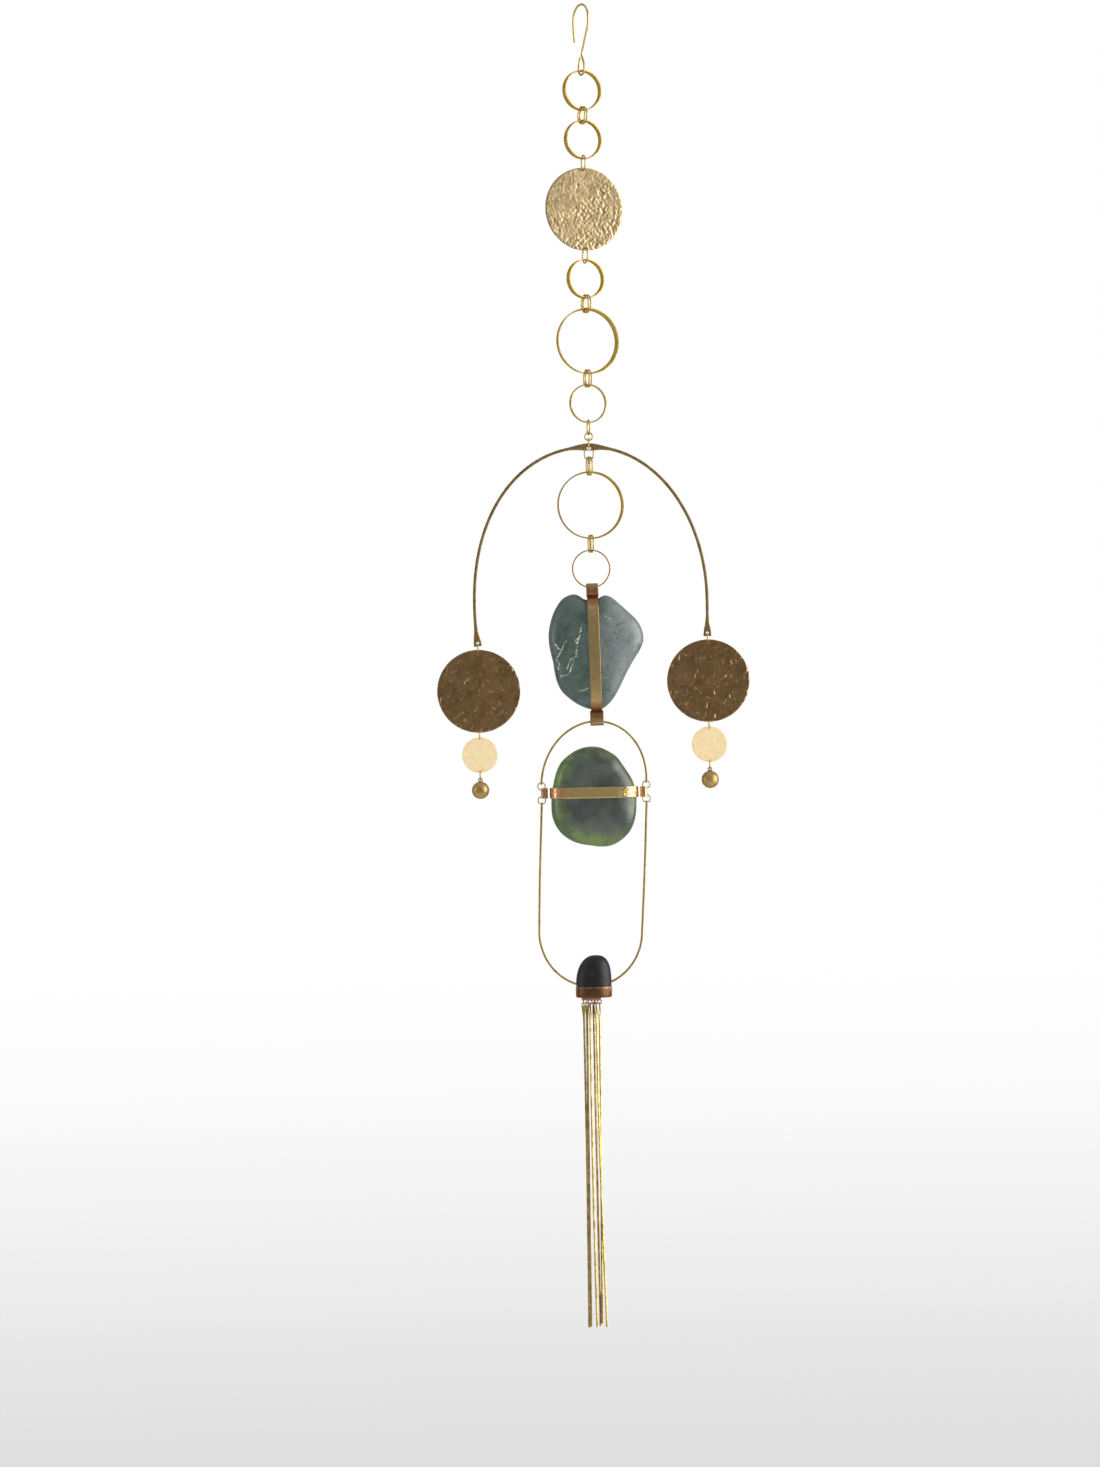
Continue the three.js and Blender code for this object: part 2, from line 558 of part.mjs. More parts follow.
// ---------- the upper stone and its strap ----------
// a closed outline moved outwards by a distance, corner by corner; the outline runs anticlockwise
function offsetOutline(outline, distance) {
  return outline.map(([x, y], i) => {
    const [bx, by] = outline[(i + outline.length - 1) % outline.length];
    const [ax, ay] = outline[(i + 1) % outline.length];
    const reach = Math.hypot(ax - bx, ay - by);
    return [x + (distance * (ay - by)) / reach, y - (distance * (ax - bx)) / reach];
  });
}

// a strip bent into a closed loop, as a flat shape to be extruded to the strip's width
function stripLoop(inside, sheet) {
  const shape = new THREE.Shape(offsetOutline(inside, sheet).map(([x, y]) => new THREE.Vector2(x, y)));
  shape.holes.push(new THREE.Path(inside.map(([x, y]) => new THREE.Vector2(x, y))));
  return shape;
}

// a rounded oblong: an ellipse with fuller corners
function oblongOutline(halfX, halfY, x, y, corners = 12) {
  const full = (ratio) => Math.sign(ratio) * Math.abs(ratio) ** 0.7;
  return Array.from({ length: corners }, (_, i) => {
    const turn = (2 * Math.PI * i) / corners;
    return [x + halfX * full(Math.cos(turn)), y + halfY * full(Math.sin(turn))];
  });
}

function extrudeShape(shape, width) {
  return new THREE.ExtrudeGeometry(shape, { depth: width, bevelEnabled: false }).translate(0, 0, -width / 2);
}

// a shape drawn in Y-Z, extruded along X to the strip's width
function stripAlongX(shape, width) {
  return extrudeShape(shape, width).applyMatrix4(new THREE.Matrix4().makeBasis(Y_AXIS, Z_AXIS, X_AXIS));
}

// the inside outline of a strap round a stone: "depthAt" gives the stone's half depth along the strap
function strapInside(depthAt, low, high, steps = 13) {
  const side = Array.from({ length: steps }, (_, i) => {
    const share = (1 - Math.cos((Math.PI * i) / (steps - 1))) / 2;
    const at = low + (high - low) * share;
    return [STRAP_GAP + depthAt(at - Math.sign(at) * STRAP_GAP), at];
  });
  return [...side, ...side.map(([depth, at]) => [-depth, at]).reverse()];
}

// the deepest point of a stone across a strip that lies over it
function depthUnderStrip(deepness, width) {
  return Math.max(...[-0.5, -0.25, 0, 0.25, 0.5].map((share) => deepness(share * width)));
}

function buildUpperStone(top) {
  const group = addGroup(0.4, 0, top);
  group.rotation.y = radians(-STRAP.lean);
  const radiusAt = outlineRadius(UPPER_OUTLINE);
  const stone = addPiece('upper_stone', pebble(radiusAt, UPPER_STONE), FINISH.jade, group);
  const depthAt = (z) => depthUnderStrip((x) => pebbleDepth(radiusAt, UPPER_STONE, x, z), STRAP.width);
  const { loopTop, seatTop, seatFoot, loopFoot } = STRAP_HEIGHTS;
  const inside = strapInside(depthAt, seatFoot, seatTop);
  const loop = (low, high, width) => {
    const [halfDepth, halfHeight] = [STRAP.loopDepth / 2 - SHEET, (high - low) / 2 - SHEET];
    return stripAlongX(stripLoop(oblongOutline(halfDepth, halfHeight, 0, (low + high) / 2), SHEET), width);
  };
  const geometry = join([
    stripAlongX(stripLoop(inside, SHEET), STRAP.width),
    loop(seatTop + 0.4, loopTop, STRAP.topLoopWidth),
    loop(loopFoot, seatFoot - 0.4, STRAP.bottomLoopWidth),
  ]);
  const strap = addPiece('upper_stone_strap', geometry, FINISH.copper, group);
  stone.position.z = -loopTop;
  strap.position.z = -loopTop;
  return top + (loopFoot - loopTop + SHEET);
}

// ---------- the oval frame: hoop, band, side links and lower frame ----------
function hoopPath(steps = 22) {
  const slope = Math.tan(radians(HOOP.lean));
  const arc = Array.from({ length: steps + 1 }, (_, i) => {
    const turn = Math.PI * (1 - i / steps);
    const z = HOOP.height * Math.sin(turn);
    return new THREE.Vector3(HOOP.halfWidth * Math.cos(turn) + z * slope, 0, z);
  });
  const end = (side) => new THREE.Vector3(side * HOOP.halfWidth, 0, -1.5);
  return [end(-1), ...arc, end(1)];
}

function framePath(steps = 16) {
  const { straight, halfWidth, bowl, lean } = FRAME;
  const side = (sign, share) => new THREE.Vector3(
    sign * (HOOP.halfWidth + (halfWidth - HOOP.halfWidth) * share ** 3) - lean * share,
    0,
    -straight * share,
  );
  const shares = [0, 0.25, 0.5, 0.75];
  const arc = Array.from({ length: steps + 1 }, (_, i) => {
    const turn = Math.PI * (1 + i / steps);
    return new THREE.Vector3(halfWidth * Math.cos(turn) - lean, 0, -straight + bowl * Math.sin(turn));
  });
  const [down, up] = [-1, 1].map((sign) => shares.map((share) => side(sign, share)));
  return [...down, ...arc, ...up.reverse()];
}

// the band round the middle stone, with a loop at each end that the side links pass through
function bandGeometry(radiusAt) {
  const stoneDepth = (x, z) => pebbleDepth(radiusAt, MIDDLE_STONE, x, z + BAND_OFFSET);
  const deepness = (x) => depthUnderStrip((z) => stoneDepth(x, z), BAND_HEIGHT);
  const inside = strapInside(deepness, -BAND_REACH, BAND_REACH, 15).map(([depth, x]) => [x, -depth]);
  const pieces = [extrudeShape(stripLoop(inside, SHEET), BAND_HEIGHT)];
  const bits = [];
  for (const side of [-1, 1]) {
    const outerEnd = side * (HOOP.halfWidth + 0.45);
    const middle = outerEnd - (side * BAND_LOOP.length) / 2;
    const loopInside = oblongOutline(BAND_LOOP.length / 2 - SHEET, BAND_LOOP.depth / 2 - SHEET, middle, 0);
    pieces.push(extrudeShape(stripLoop(loopInside, SHEET), BAND_HEIGHT));
    const neckFrom = side * (BAND_REACH + 0.3);
    const neckTo = middle - side * (BAND_LOOP.length / 2 - 0.5);
    const neck = new THREE.BoxGeometry(Math.abs(neckTo - neckFrom), 2 * SHEET, BAND_HEIGHT);
    pieces.push(neck.translate((neckFrom + neckTo) / 2, 0, 0));
    for (const end of [-1, 1]) {
      const z = end * (BAND_HEIGHT / 2 - SIDE_HOLE_INSET);
      bits.push(drill(SIDE_HOLE_RADIUS, 2.4, 'x', outerEnd - side * 0.4, 0, z, 8));
    }
  }
  return cut(join(pieces), bits);
}

function buildOvalFrame(loopInside) {
  const apexInside = loopInside + 1.7;      // the hoop's curve falls through the width of the loop
  const base = apexInside + HOOP.sheet / 2 - HOOP.height;
  const flat = (sheet) => () => sheet;

  const hoopBar = planarBar(hoopPath(), Y_AXIS, flat(HOOP.sheet), flat(HOOP.width), 4);
  const endBit = (side, z) => drill(SIDE_HOLE_RADIUS, 4, 'x', side * HOOP.halfWidth, 0, z, 8);
  const endBits = (z) => [endBit(-1, z), endBit(1, z)];
  const hoop = addPiece('hoop', cut(hoopBar, endBits(HOOP.holeHeight)), FINISH.bright);
  hoop.position.set(OVAL_X, 0, base);

  const slack = 0.15;                // each wire rides just above the middle of its hole
  const linkTop = base + HOOP.holeHeight - slack;
  const bandHole = linkTop - 2 * SIDE_LINK_RADIUS - slack;
  const bandMiddle = bandHole - (BAND_HEIGHT / 2 - SIDE_HOLE_INSET);
  const lowerTop = bandMiddle - (BAND_HEIGHT / 2 - SIDE_HOLE_INSET) - slack;
  const frameHole = lowerTop - 2 * SIDE_LINK_RADIUS - slack;
  for (const [side, word] of [[-1, 'left'], [1, 'right']]) {
    for (const [level, topWire] of [['upper', linkTop], ['lower', lowerTop]]) {
      const ring = wireRing(2 * SIDE_LINK_RADIUS + SIDE_WIRE, SIDE_WIRE);
      const link = addPiece(`side_link_${level}_${word}`, ring, FINISH.bright);
      link.position.set(OVAL_X + side * HOOP.halfWidth, 0, topWire - SIDE_LINK_RADIUS);
    }
  }

  const radiusAt = outlineRadius(MIDDLE_OUTLINE);
  const stone = addPiece('middle_stone', pebble(radiusAt, MIDDLE_STONE), FINISH.greenJade);
  stone.position.set(OVAL_X, 0, bandMiddle - BAND_OFFSET);
  const band = addPiece('middle_stone_band', bandGeometry(radiusAt), FINISH.copper);
  band.position.set(OVAL_X, 0, bandMiddle);

  const frameTop = frameHole + 1.4;
  const path = framePath();
  const frameBar = planarBar(path, Y_AXIS, flat(FRAME.sheet), flat(FRAME.width), 4);
  const frame = addPiece('lower_frame', cut(frameBar, endBits(-1.4)), FINISH.bright);
  frame.position.set(OVAL_X, 0, frameTop);
  const bowlFoot = new THREE.Vector3(OVAL_X - FRAME.lean, 0, frameTop - FRAME.straight - FRAME.bowl);
  return { bowlFoot, tunnelPath: path.filter((p) => p.z < -FRAME.straight - FRAME.bowl * 0.7) };
}

// ---------- the base stone, its cap and the tassel ----------
function ellipseSlice(halfX, halfY, x, z, around = 20) {
  return Array.from({ length: around }, (_, i) => {
    const turn = (2 * Math.PI * i) / around;
    return new THREE.Vector3(x + halfX * Math.cos(turn), halfY * Math.sin(turn), z);
  });
}

// local height 0 is the cap's rim
function baseStoneGeometry(tunnel) {
  const { halfWidth, halfDepth, dome, step, seat, peak } = BASE_STONE;
  const slices = [];
  for (let i = 0; i <= 6; i += 1) {
    const down = i === 0 ? 0.0016 : (1 - Math.cos((Math.PI / 2) * (i / 6)));
    const share = (1 - (1 - down) ** 2.5) ** 0.4;
    const up = 1 - down;
    slices.push(ellipseSlice(halfWidth * share, halfDepth * share, peak * up ** 2, 0.4 + dome * up));
  }
  slices.push(ellipseSlice(halfWidth - step, halfDepth - step, 0, 0.4));
  slices.push(ellipseSlice(halfWidth - step, halfDepth - step, 0, -seat));
  return cut(loft(slices), [tunnel]);
}

function capGeometry(eyes) {
  const outer = [BASE_STONE.halfWidth + 0.3, BASE_STONE.halfDepth + 0.3];
  const cup = (halfX, halfY, from, to) => loft([from, to].map((z) => ellipseSlice(halfX, halfY, 0, z)));
  const body = cup(outer[0], outer[1], 0, -CAP.height);
  const hollow = cup(outer[0] - CAP.sheet, outer[1] - CAP.sheet, 1, -CAP.height + CAP.floor);
  const tabShape = new THREE.Shape();
  const [half, drop] = [CAP.tabWidth / 2, CAP.tabDrop];
  tabShape.moveTo(-half - 0.8, 0.5);
  tabShape.lineTo(-half + 0.4, -drop);
  tabShape.lineTo(half - 0.4, -drop);
  tabShape.lineTo(half + 0.8, 0.5);
  const tab = plate(tabShape, CAP.tabDepth).translate(-2.1, 0, -CAP.height);
  return join([cut(body, [hollow]), tab, ...eyes]);
}

function tasselWire({ across, lane, turn, lift }, steps = 11) {
  const [top, middle, foot] = across;
  const slices = [];
  for (let i = 0; i <= steps; i += 1) {
    const early = i / 8;
    const down = i < 4 ? early * 0.09 : 0.045 + (0.955 * (i - 4)) / (steps - 4);
    const bow = 4 * down * (1 - down) * (middle - (top + foot) / 2);
    const centre = new THREE.Vector3(
      (foot - top) * down + bow,
      (lane[1] - lane[0]) * Math.min(1, down * 2.5),
      1.55 - (TASSEL.length - lift) * down,
    );
    const taper = THREE.MathUtils.smoothstep(TASSEL.length * down, 2, TASSEL.paddleLength + 4);
    const shoulder = i === 0 ? 0.6 : 1;
    const width = (TASSEL.paddle + (TASSEL.wide - TASSEL.paddle) * taper) * shoulder;
    const sheet = TASSEL.paddleSheet + (TASSEL.thin - TASSEL.paddleSheet) * taper;
    const facing = radians(turn) * (1 - taper * 0.6);
    const side = new THREE.Vector3(Math.cos(facing), Math.sin(facing), 0);
    const through = new THREE.Vector3(-Math.sin(facing), Math.cos(facing), 0);
    slices.push(section(centre, side, through, width, sheet, 5));
  }
  const bit = new THREE.CylinderGeometry(0.95, 0.95, 4, 8).rotateZ(radians(turn));
  return cut(loft(slices), [bit]);
}

function buildBase({ bowlFoot, tunnelPath }) {
  const group = addGroup(bowlFoot.x + BASE_STONE.offset, 0, bowlFoot.z);
  const toBase = new THREE.Vector3(FRAME.lean - BASE_STONE.offset, 0, FRAME.straight + FRAME.bowl);
  const tunnelAt = tunnelPath.map((p) => p.clone().add(toBase));
  const wider = 2 * CLEARANCE + 0.1;
  const tunnel = planarBar(tunnelAt, Y_AXIS, () => FRAME.sheet + wider, () => FRAME.width + wider, 4);
  addPiece('base_stone', baseStoneGeometry(tunnel), FINISH.basalt, group);

  const eyeMiddle = -CAP.height - CAP.tabDrop - EYE.radius + 0.15;
  const eyes = TASSEL_WIRES.map(({ across, lane, turn }) => {
    const eye = wireRing(2 * EYE.radius + EYE.wire, EYE.wire, 8);
    return eye.rotateZ(radians(90 + turn)).translate(across[0], lane[0], eyeMiddle);
  });
  addPiece('base_cap', capGeometry(eyes), FINISH.cap, group);

  const hole = eyeMiddle - EYE.radius - 0.15;
  TASSEL_WIRES.forEach((wire, i) => {
    const piece = addPiece(`tassel_wire_${i + 1}`, tasselWire(wire), FINISH.bright, group);
    piece.position.set(wire.across[0], wire.lane[0], hole);
  });
}

const strapTop = height + SHEET + 1.85;   // the ring's curve rises through the width of the strap's loop
const loopInside = buildUpperStone(strapTop);
buildBase(buildOvalFrame(loopInside));

export default mobile;
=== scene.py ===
import math

import bmesh
import bpy
import numpy as np
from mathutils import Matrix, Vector, noise
from mathutils.geometry import delaunay_2d_cdt


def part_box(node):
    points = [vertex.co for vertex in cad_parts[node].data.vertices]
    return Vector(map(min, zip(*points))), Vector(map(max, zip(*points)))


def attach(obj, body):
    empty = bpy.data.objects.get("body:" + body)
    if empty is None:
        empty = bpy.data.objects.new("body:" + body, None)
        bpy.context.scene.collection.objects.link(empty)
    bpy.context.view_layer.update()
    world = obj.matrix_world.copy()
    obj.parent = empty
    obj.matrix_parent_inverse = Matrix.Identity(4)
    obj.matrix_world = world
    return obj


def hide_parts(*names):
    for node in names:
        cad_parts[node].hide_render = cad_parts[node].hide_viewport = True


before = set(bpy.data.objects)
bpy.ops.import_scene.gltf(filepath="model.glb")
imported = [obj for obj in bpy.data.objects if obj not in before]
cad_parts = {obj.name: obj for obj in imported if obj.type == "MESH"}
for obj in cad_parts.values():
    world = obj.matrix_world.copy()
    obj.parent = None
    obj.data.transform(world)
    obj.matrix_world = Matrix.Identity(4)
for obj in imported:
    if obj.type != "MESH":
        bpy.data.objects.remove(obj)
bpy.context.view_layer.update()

MM = 0.001
TAU = 2 * math.pi


# ---------- places ----------
def low(node):
    return np.array(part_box(node)[0]) / MM


def high(node):
    return np.array(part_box(node)[1]) / MM


def middle(node):
    return (low(node) + high(node)) / 2


# ---------- small maths ----------
def columns(*values):
    """The values side by side; single numbers are repeated."""
    return np.stack(np.broadcast_arrays(*values), axis=-1).astype(float)


def full_turn(count):
    return TAU * np.arange(count) / count


def unit(vectors):
    return vectors / np.linalg.norm(vectors, axis=1)[:, None]


def smooth(value, start, end):
    share = np.clip((value - start) / (end - start), 0, 1)
    return share * share * (3 - 2 * share)


def rough_field(points, scale, seed=0.0):
    """Smooth noise from -1 to 1 at each point; scale is the size of its lumps in millimetres."""
    shift = Vector((seed * 7.3, seed * 3.1, seed * 5.7))
    return np.array([noise.noise(Vector(p) / scale + shift) for p in points])


def dimples(points, scale, seed=0.0):
    """Round hammer marks: 0 at the middle of each mark, rising to about 1 at the ridges between."""
    shift = Vector((seed * 2.7, seed * 4.9, seed * 1.3))
    marks = np.empty(len(points))
    for i, p in enumerate(points):
        distances = noise.voronoi(Vector(p) / scale + shift)[0]
        marks[i] = min(1.0, distances[0] / 0.75) ** 2
    return marks


def running_length(points):
    return np.concatenate([[0], np.cumsum(np.linalg.norm(np.diff(points, axis=0), axis=1))])


def evenly(points, count):
    run = running_length(points)
    at = np.linspace(0, run[-1], count)
    return columns(*[np.interp(at, run, line) for line in points.T])


def even_path(points, step):
    """The same path with points every "step" millimetres."""
    points = np.array(points, float)
    return evenly(points, max(2, int(running_length(points)[-1] / step)))


def between(t, start, end, first, last):
    """The value at t on the line that is first at start and last at end."""
    return (end - t) / (end - start) * first + (t - start) / (end - start) * last


def catmull_rom(points, count, closed=False):
    """Evenly spaced points on the centripetal Catmull-Rom curve through the given points."""
    pts = [np.array(p, float) for p in points]
    if closed:
        pts = [pts[-1], *pts, pts[0], pts[1]]
    else:
        pts = [2 * pts[0] - pts[1], *pts, 2 * pts[-1] - pts[-2]]
    dense = []
    for p0, p1, p2, p3 in zip(pts, pts[1:], pts[2:], pts[3:]):
        t0 = 0.0
        t1 = t0 + np.linalg.norm(p1 - p0) ** 0.5
        t2 = t1 + np.linalg.norm(p2 - p1) ** 0.5
        t3 = t2 + np.linalg.norm(p3 - p2) ** 0.5
        for t in np.linspace(t1, t2, 24, endpoint=False):
            a1 = between(t, t0, t1, p0, p1)
            a2 = between(t, t1, t2, p1, p2)
            a3 = between(t, t2, t3, p2, p3)
            dense.append(between(t, t1, t2, between(t, t0, t2, a1, a2), between(t, t1, t3, a2, a3)))
    dense.append(pts[-2])
    even = evenly(np.array(dense), count + 1 if closed else count)
    return even[:-1] if closed else even


def yaw_matrix(degrees):
    c, s = math.cos(math.radians(degrees)), math.sin(math.radians(degrees))
    return np.array([[c, -s, 0], [s, c, 0], [0, 0, 1]])


def lean_matrix(degrees):
    """A turn about Y; a positive one swings the top towards +X."""
    c, s = math.cos(math.radians(degrees)), math.sin(math.radians(degrees))
    return np.array([[c, 0, s], [0, 1, 0], [-s, 0, c]])


# ---------- mesh building ----------
def add_object(name, data):
    thing = bpy.data.objects.new(name, data)
    bpy.context.scene.collection.objects.link(thing)
    return thing


def make_mesh(name, vertices, faces, tone=None):
    """A mesh from millimetre vertices, its faces turned outwards."""
    mesh = bpy.data.meshes.new(name)
    mesh.from_pydata([tuple(v) for v in np.asarray(vertices) * MM], [], [tuple(f) for f in faces])
    if tone is not None:
        attribute = mesh.attributes.new("tone", "FLOAT", "POINT")
        attribute.data.foreach_set("value", np.asarray(tone, np.float32))
    work = bmesh.new()
    work.from_mesh(mesh)
    bmesh.ops.recalc_face_normals(work, faces=work.faces)
    work.to_mesh(mesh)
    work.free()
    return mesh


def add_piece(node, vertices, faces, material, slot, sharp=35, tone=None):
    """A mesh piece from millimetre vertices that stands for a CAD node."""
    mesh = make_mesh(f"{node}_finished", vertices, faces, tone)
    mesh.shade_smooth()
    mesh.set_sharp_from_angle(angle=math.radians(sharp))
    mesh.materials.append(material)
    piece = add_object(mesh.name, mesh)
    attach(piece, "root")
    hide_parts(node)
    return piece


def merge(*parts):
    """Several (vertices, faces) lists as one."""
    vertices, faces, start = [], [], 0
    for part_vertices, part_faces in parts:
        vertices.append(np.asarray(part_vertices, float))
        faces += [tuple(i + start for i in face) for face in part_faces]
        start += len(part_vertices)
    return np.concatenate(vertices), faces


def skin(rings, closed=False):
    """Faces over rings of equal length; open ones are closed by a flat cap at each end."""
    count, sides = rings.shape[:2]
    faces = []
    for k in range(count if closed else count - 1):
        m = (k + 1) % count
        for i in range(sides):
            j = (i + 1) % sides
            faces.append((k * sides + i, k * sides + j, m * sides + j, m * sides + i))
    if not closed:
        faces.append(tuple(range(sides)))
        faces.append(tuple((count - 1) * sides + i for i in range(sides)))
    return rings.reshape(-1, 3), faces


def section(sides, width, sheet, fullness=2.0):
    """Cross-section points; fullness 2 is an ellipse and 5 almost a rectangle. Sizes may be arrays."""
    turn = TAU * (np.arange(sides) + 0.5) / sides
    c, s = np.cos(turn), np.sin(turn)
    a = np.sign(c) * np.abs(c) ** (2 / fullness)
    b = np.sign(s) * np.abs(s) ** (2 / fullness)
    return np.multiply.outer(np.asarray(width) / 2, a), np.multiply.outer(np.asarray(sheet) / 2, b)


def bar(path, normal, width, sheet, sides=12, fullness=3.0, closed=False, twist=None):
    """A bar along a path: width lies across the path and sheet along the normal direction."""
    path = np.asarray(path, float)
    if closed:
        along = np.roll(path, -1, axis=0) - np.roll(path, 1, axis=0)
    else:
        along = np.gradient(path, axis=0)
    along = unit(along)
    normal = np.broadcast_to(np.asarray(normal, float), path.shape)
    across = unit(np.cross(along, normal))
    through = np.cross(across, along)
    if twist is not None:
        c, s = np.cos(twist)[:, None], np.sin(twist)[:, None]
        across, through = across * c + through * s, through * c - across * s
    a, b = section(sides, np.broadcast_to(width, len(path)), np.broadcast_to(sheet, len(path)), fullness)
    rings = path[:, None, :] + a[..., None] * across[:, None, :] + b[..., None] * through[:, None, :]
    return skin(rings, closed)


def wire_ring(centre, outside, wire, yaw, height=None, joint=0.2, sides=14, around=72):
    """A jump ring turned by yaw; height makes it oval. It has a fine seam where its ends meet."""
    reach = (outside - wire) / 2
    stretch = ((height or outside) - outside) / 2
    turn = full_turn(around)
    tall = reach * np.sin(turn) + stretch * np.sign(np.sin(turn).round(6))
    path = columns(reach * np.cos(turn), 0, tall)
    wires = np.full(around, wire)
    wires[int(joint * around)] *= 0.72
    vertices, faces = bar(path, (0, 1, 0), wires, wires, sides, 2.0, closed=True)
    return vertices @ yaw_matrix(yaw).T + centre, faces


def flat_band_ring(centre, diameter, width, thickness, flare, yaw, seed):
    """A chain ring bent from strip: rounded edges, a slightly uneven width and a flared front rim."""
    around = 144
    turn = full_turn(around)
    reach = (diameter - thickness) / 2
    path = columns(reach * np.cos(turn), 0, reach * np.sin(turn))
    wobble = rough_field(path, 7, seed)
    path[:, 1] += 0.12 * rough_field(path, 16, seed + 3)
    path[:, [0, 2]] *= (1 + 0.10 * rough_field(path, 14, seed + 5) / reach)[:, None]
    a, b = section(16, np.full(around, thickness), width * (1 + 0.035 * wobble), 4.2)
    outward = unit(path * (1, 0, 1))
    radial = a - flare * b
    rings = path[:, None, :] + radial[..., None] * outward[:, None, :] + b[..., None] * np.array((0, 1, 0))
    vertices, faces = skin(rings, closed=True)
    return vertices @ yaw_matrix(yaw).T + centre, faces


def hammered_disc(centre, diameter, sheet, holes, yaw, spacing, relief, edge, around=200):
    """A pierced disc facing -Y; relief(points) lifts its faces and edge(angle) nibbles its rim inwards."""
    radius = diameter / 2
    flat, edges = [], []

    def loop(points):
        start = len(flat)
        flat.extend(points)
        edges.extend((start + i, start + (i + 1) % len(points)) for i in range(len(points)))

    rim = full_turn(around)
    reach = radius - edge(rim)
    loop([(r * math.cos(t), r * math.sin(t)) for r, t in zip(reach, rim)])
    for x, z, hole in holes:
        loop([(x + hole * math.cos(t), z + hole * math.sin(t)) for t in full_turn(20)])
    row_height = spacing * 0.866
    rows = int(radius / row_height)
    for row in range(-rows, rows + 1):
        z = row * row_height
        for step in range(-int(radius / spacing) - 1, int(radius / spacing) + 2):
            x = (step + 0.5 * (row % 2)) * spacing
            inside = math.hypot(x, z) < np.interp(math.atan2(z, x) % TAU, rim, reach) - 0.55 * spacing
            if inside and all(math.hypot(x - hx, z - hz) > hr + 0.4 * spacing for hx, hz, hr in holes):
                flat.append((x, z))
    found, _, triangles, *_ = delaunay_2d_cdt([Vector(p) for p in flat], edges, [], 3, 1e-6, False)
    plane = np.array([(p[0], 0.0, p[1]) for p in found])
    rim_here = np.interp(np.arctan2(plane[:, 2], plane[:, 0]) % TAU, rim, reach)
    away = rim_here - np.hypot(plane[:, 0], plane[:, 2])
    rounding = 0.45 + 0.55 * np.clip(away / 0.7, 0, 1) ** 0.5
    lift = relief(plane)
    front, back = plane.copy(), plane.copy()
    front[:, 1] = -sheet / 2 * rounding + lift
    back[:, 1] = sheet / 2 * rounding + lift * 0.8
    count = len(plane)
    faces = [tuple(t) for t in triangles] + [tuple(i + count for i in reversed(t)) for t in triangles]
    used = {}
    for t in triangles:
        for i in range(3):
            pair = (t[i], t[(i + 1) % 3])
            used[tuple(sorted(pair))] = None if tuple(sorted(pair)) in used else pair
    faces += [(b, a, a + count, b + count) for a, b in filter(None, used.values())]
    return np.concatenate([front, back]) @ yaw_matrix(yaw).T + centre, faces


def nibbled(turn, scale, seed):
    """How far a disc's rim is eaten in at each angle, from 0 to 1."""
    rim = [(12 * math.cos(t), 12 * math.sin(t), 0) for t in turn]
    return np.abs(rough_field(rim, scale, seed))


# ---------- stones ----------
def outline_radius(points):
    """The outline of a stone as a distance from its middle at any angle."""
    even = catmull_rom(points, 720, closed=True)
    angle = np.arctan2(even[:, 1], even[:, 0])
    order = np.argsort(angle)
    angle, reach = angle[order], np.hypot(even[:, 0], even[:, 1])[order]
    return lambda turn: np.interp(np.arctan2(np.sin(turn), np.cos(turn)), angle, reach, period=TAU)


def pebble_depth(radius_at, half_depth, roundness, x, z):
    share = np.clip(np.hypot(x, z) / radius_at(np.arctan2(z, x)), 0, 1)
    return half_depth * (1 - share ** roundness) ** (1 / roundness)


def pebble(radius_at, half_depth, roundness, around, layers, lump, seed):
    """A stone with the given outline, thickest in its middle; also returns shares of its reach."""
    turn = full_turn(around)
    rings, shares = [], []
    for k in range(1, layers):
        y = -math.cos(math.pi * k / layers)
        share = (1 - abs(y) ** roundness) ** (1 / roundness)
        reach = share * radius_at(turn)
        rings.append(columns(reach * np.cos(turn), y * half_depth, reach * np.sin(turn)))
        shares.append(np.full(around, share))
    vertices, faces = skin(np.array(rings))
    shares = np.concatenate(shares)
    uneven = rough_field(vertices, 24, seed) + 0.45 * rough_field(vertices, 9, seed + 2)
    vertices[:, 1] += lump * uneven * (1 - shares ** 4)
    return vertices, faces, shares


def strap_outline(depth_at, start, end, gap, count):
    """Half depth against height for a strap that lies round a stone, once round."""
    share = (1 - np.cos(np.pi * np.arange(count) / (count - 1))) / 2
    at = start + (end - start) * share
    depth = gap + depth_at(at - np.sign(at) * gap)
    return np.concatenate([columns(depth, at), columns(-depth, at)[::-1]])


def depth_under(radius_at, half_depth, roundness, width, across_is_x, offset=0.0):
    """The stone's greatest half depth across a strip that lies over it, along the strip."""
    across = np.linspace(-0.5, 0.5, 9) * width

    def depth(at):
        at = np.asarray(at, float)
        grid = np.broadcast_to(at[:, None], (len(at), len(across)))
        over = np.broadcast_to(across[None, :], grid.shape)
        x, z = (over, grid) if across_is_x else (grid, over + offset)
        return pebble_depth(radius_at, half_depth, roundness, x, z).max(axis=1)

    return depth


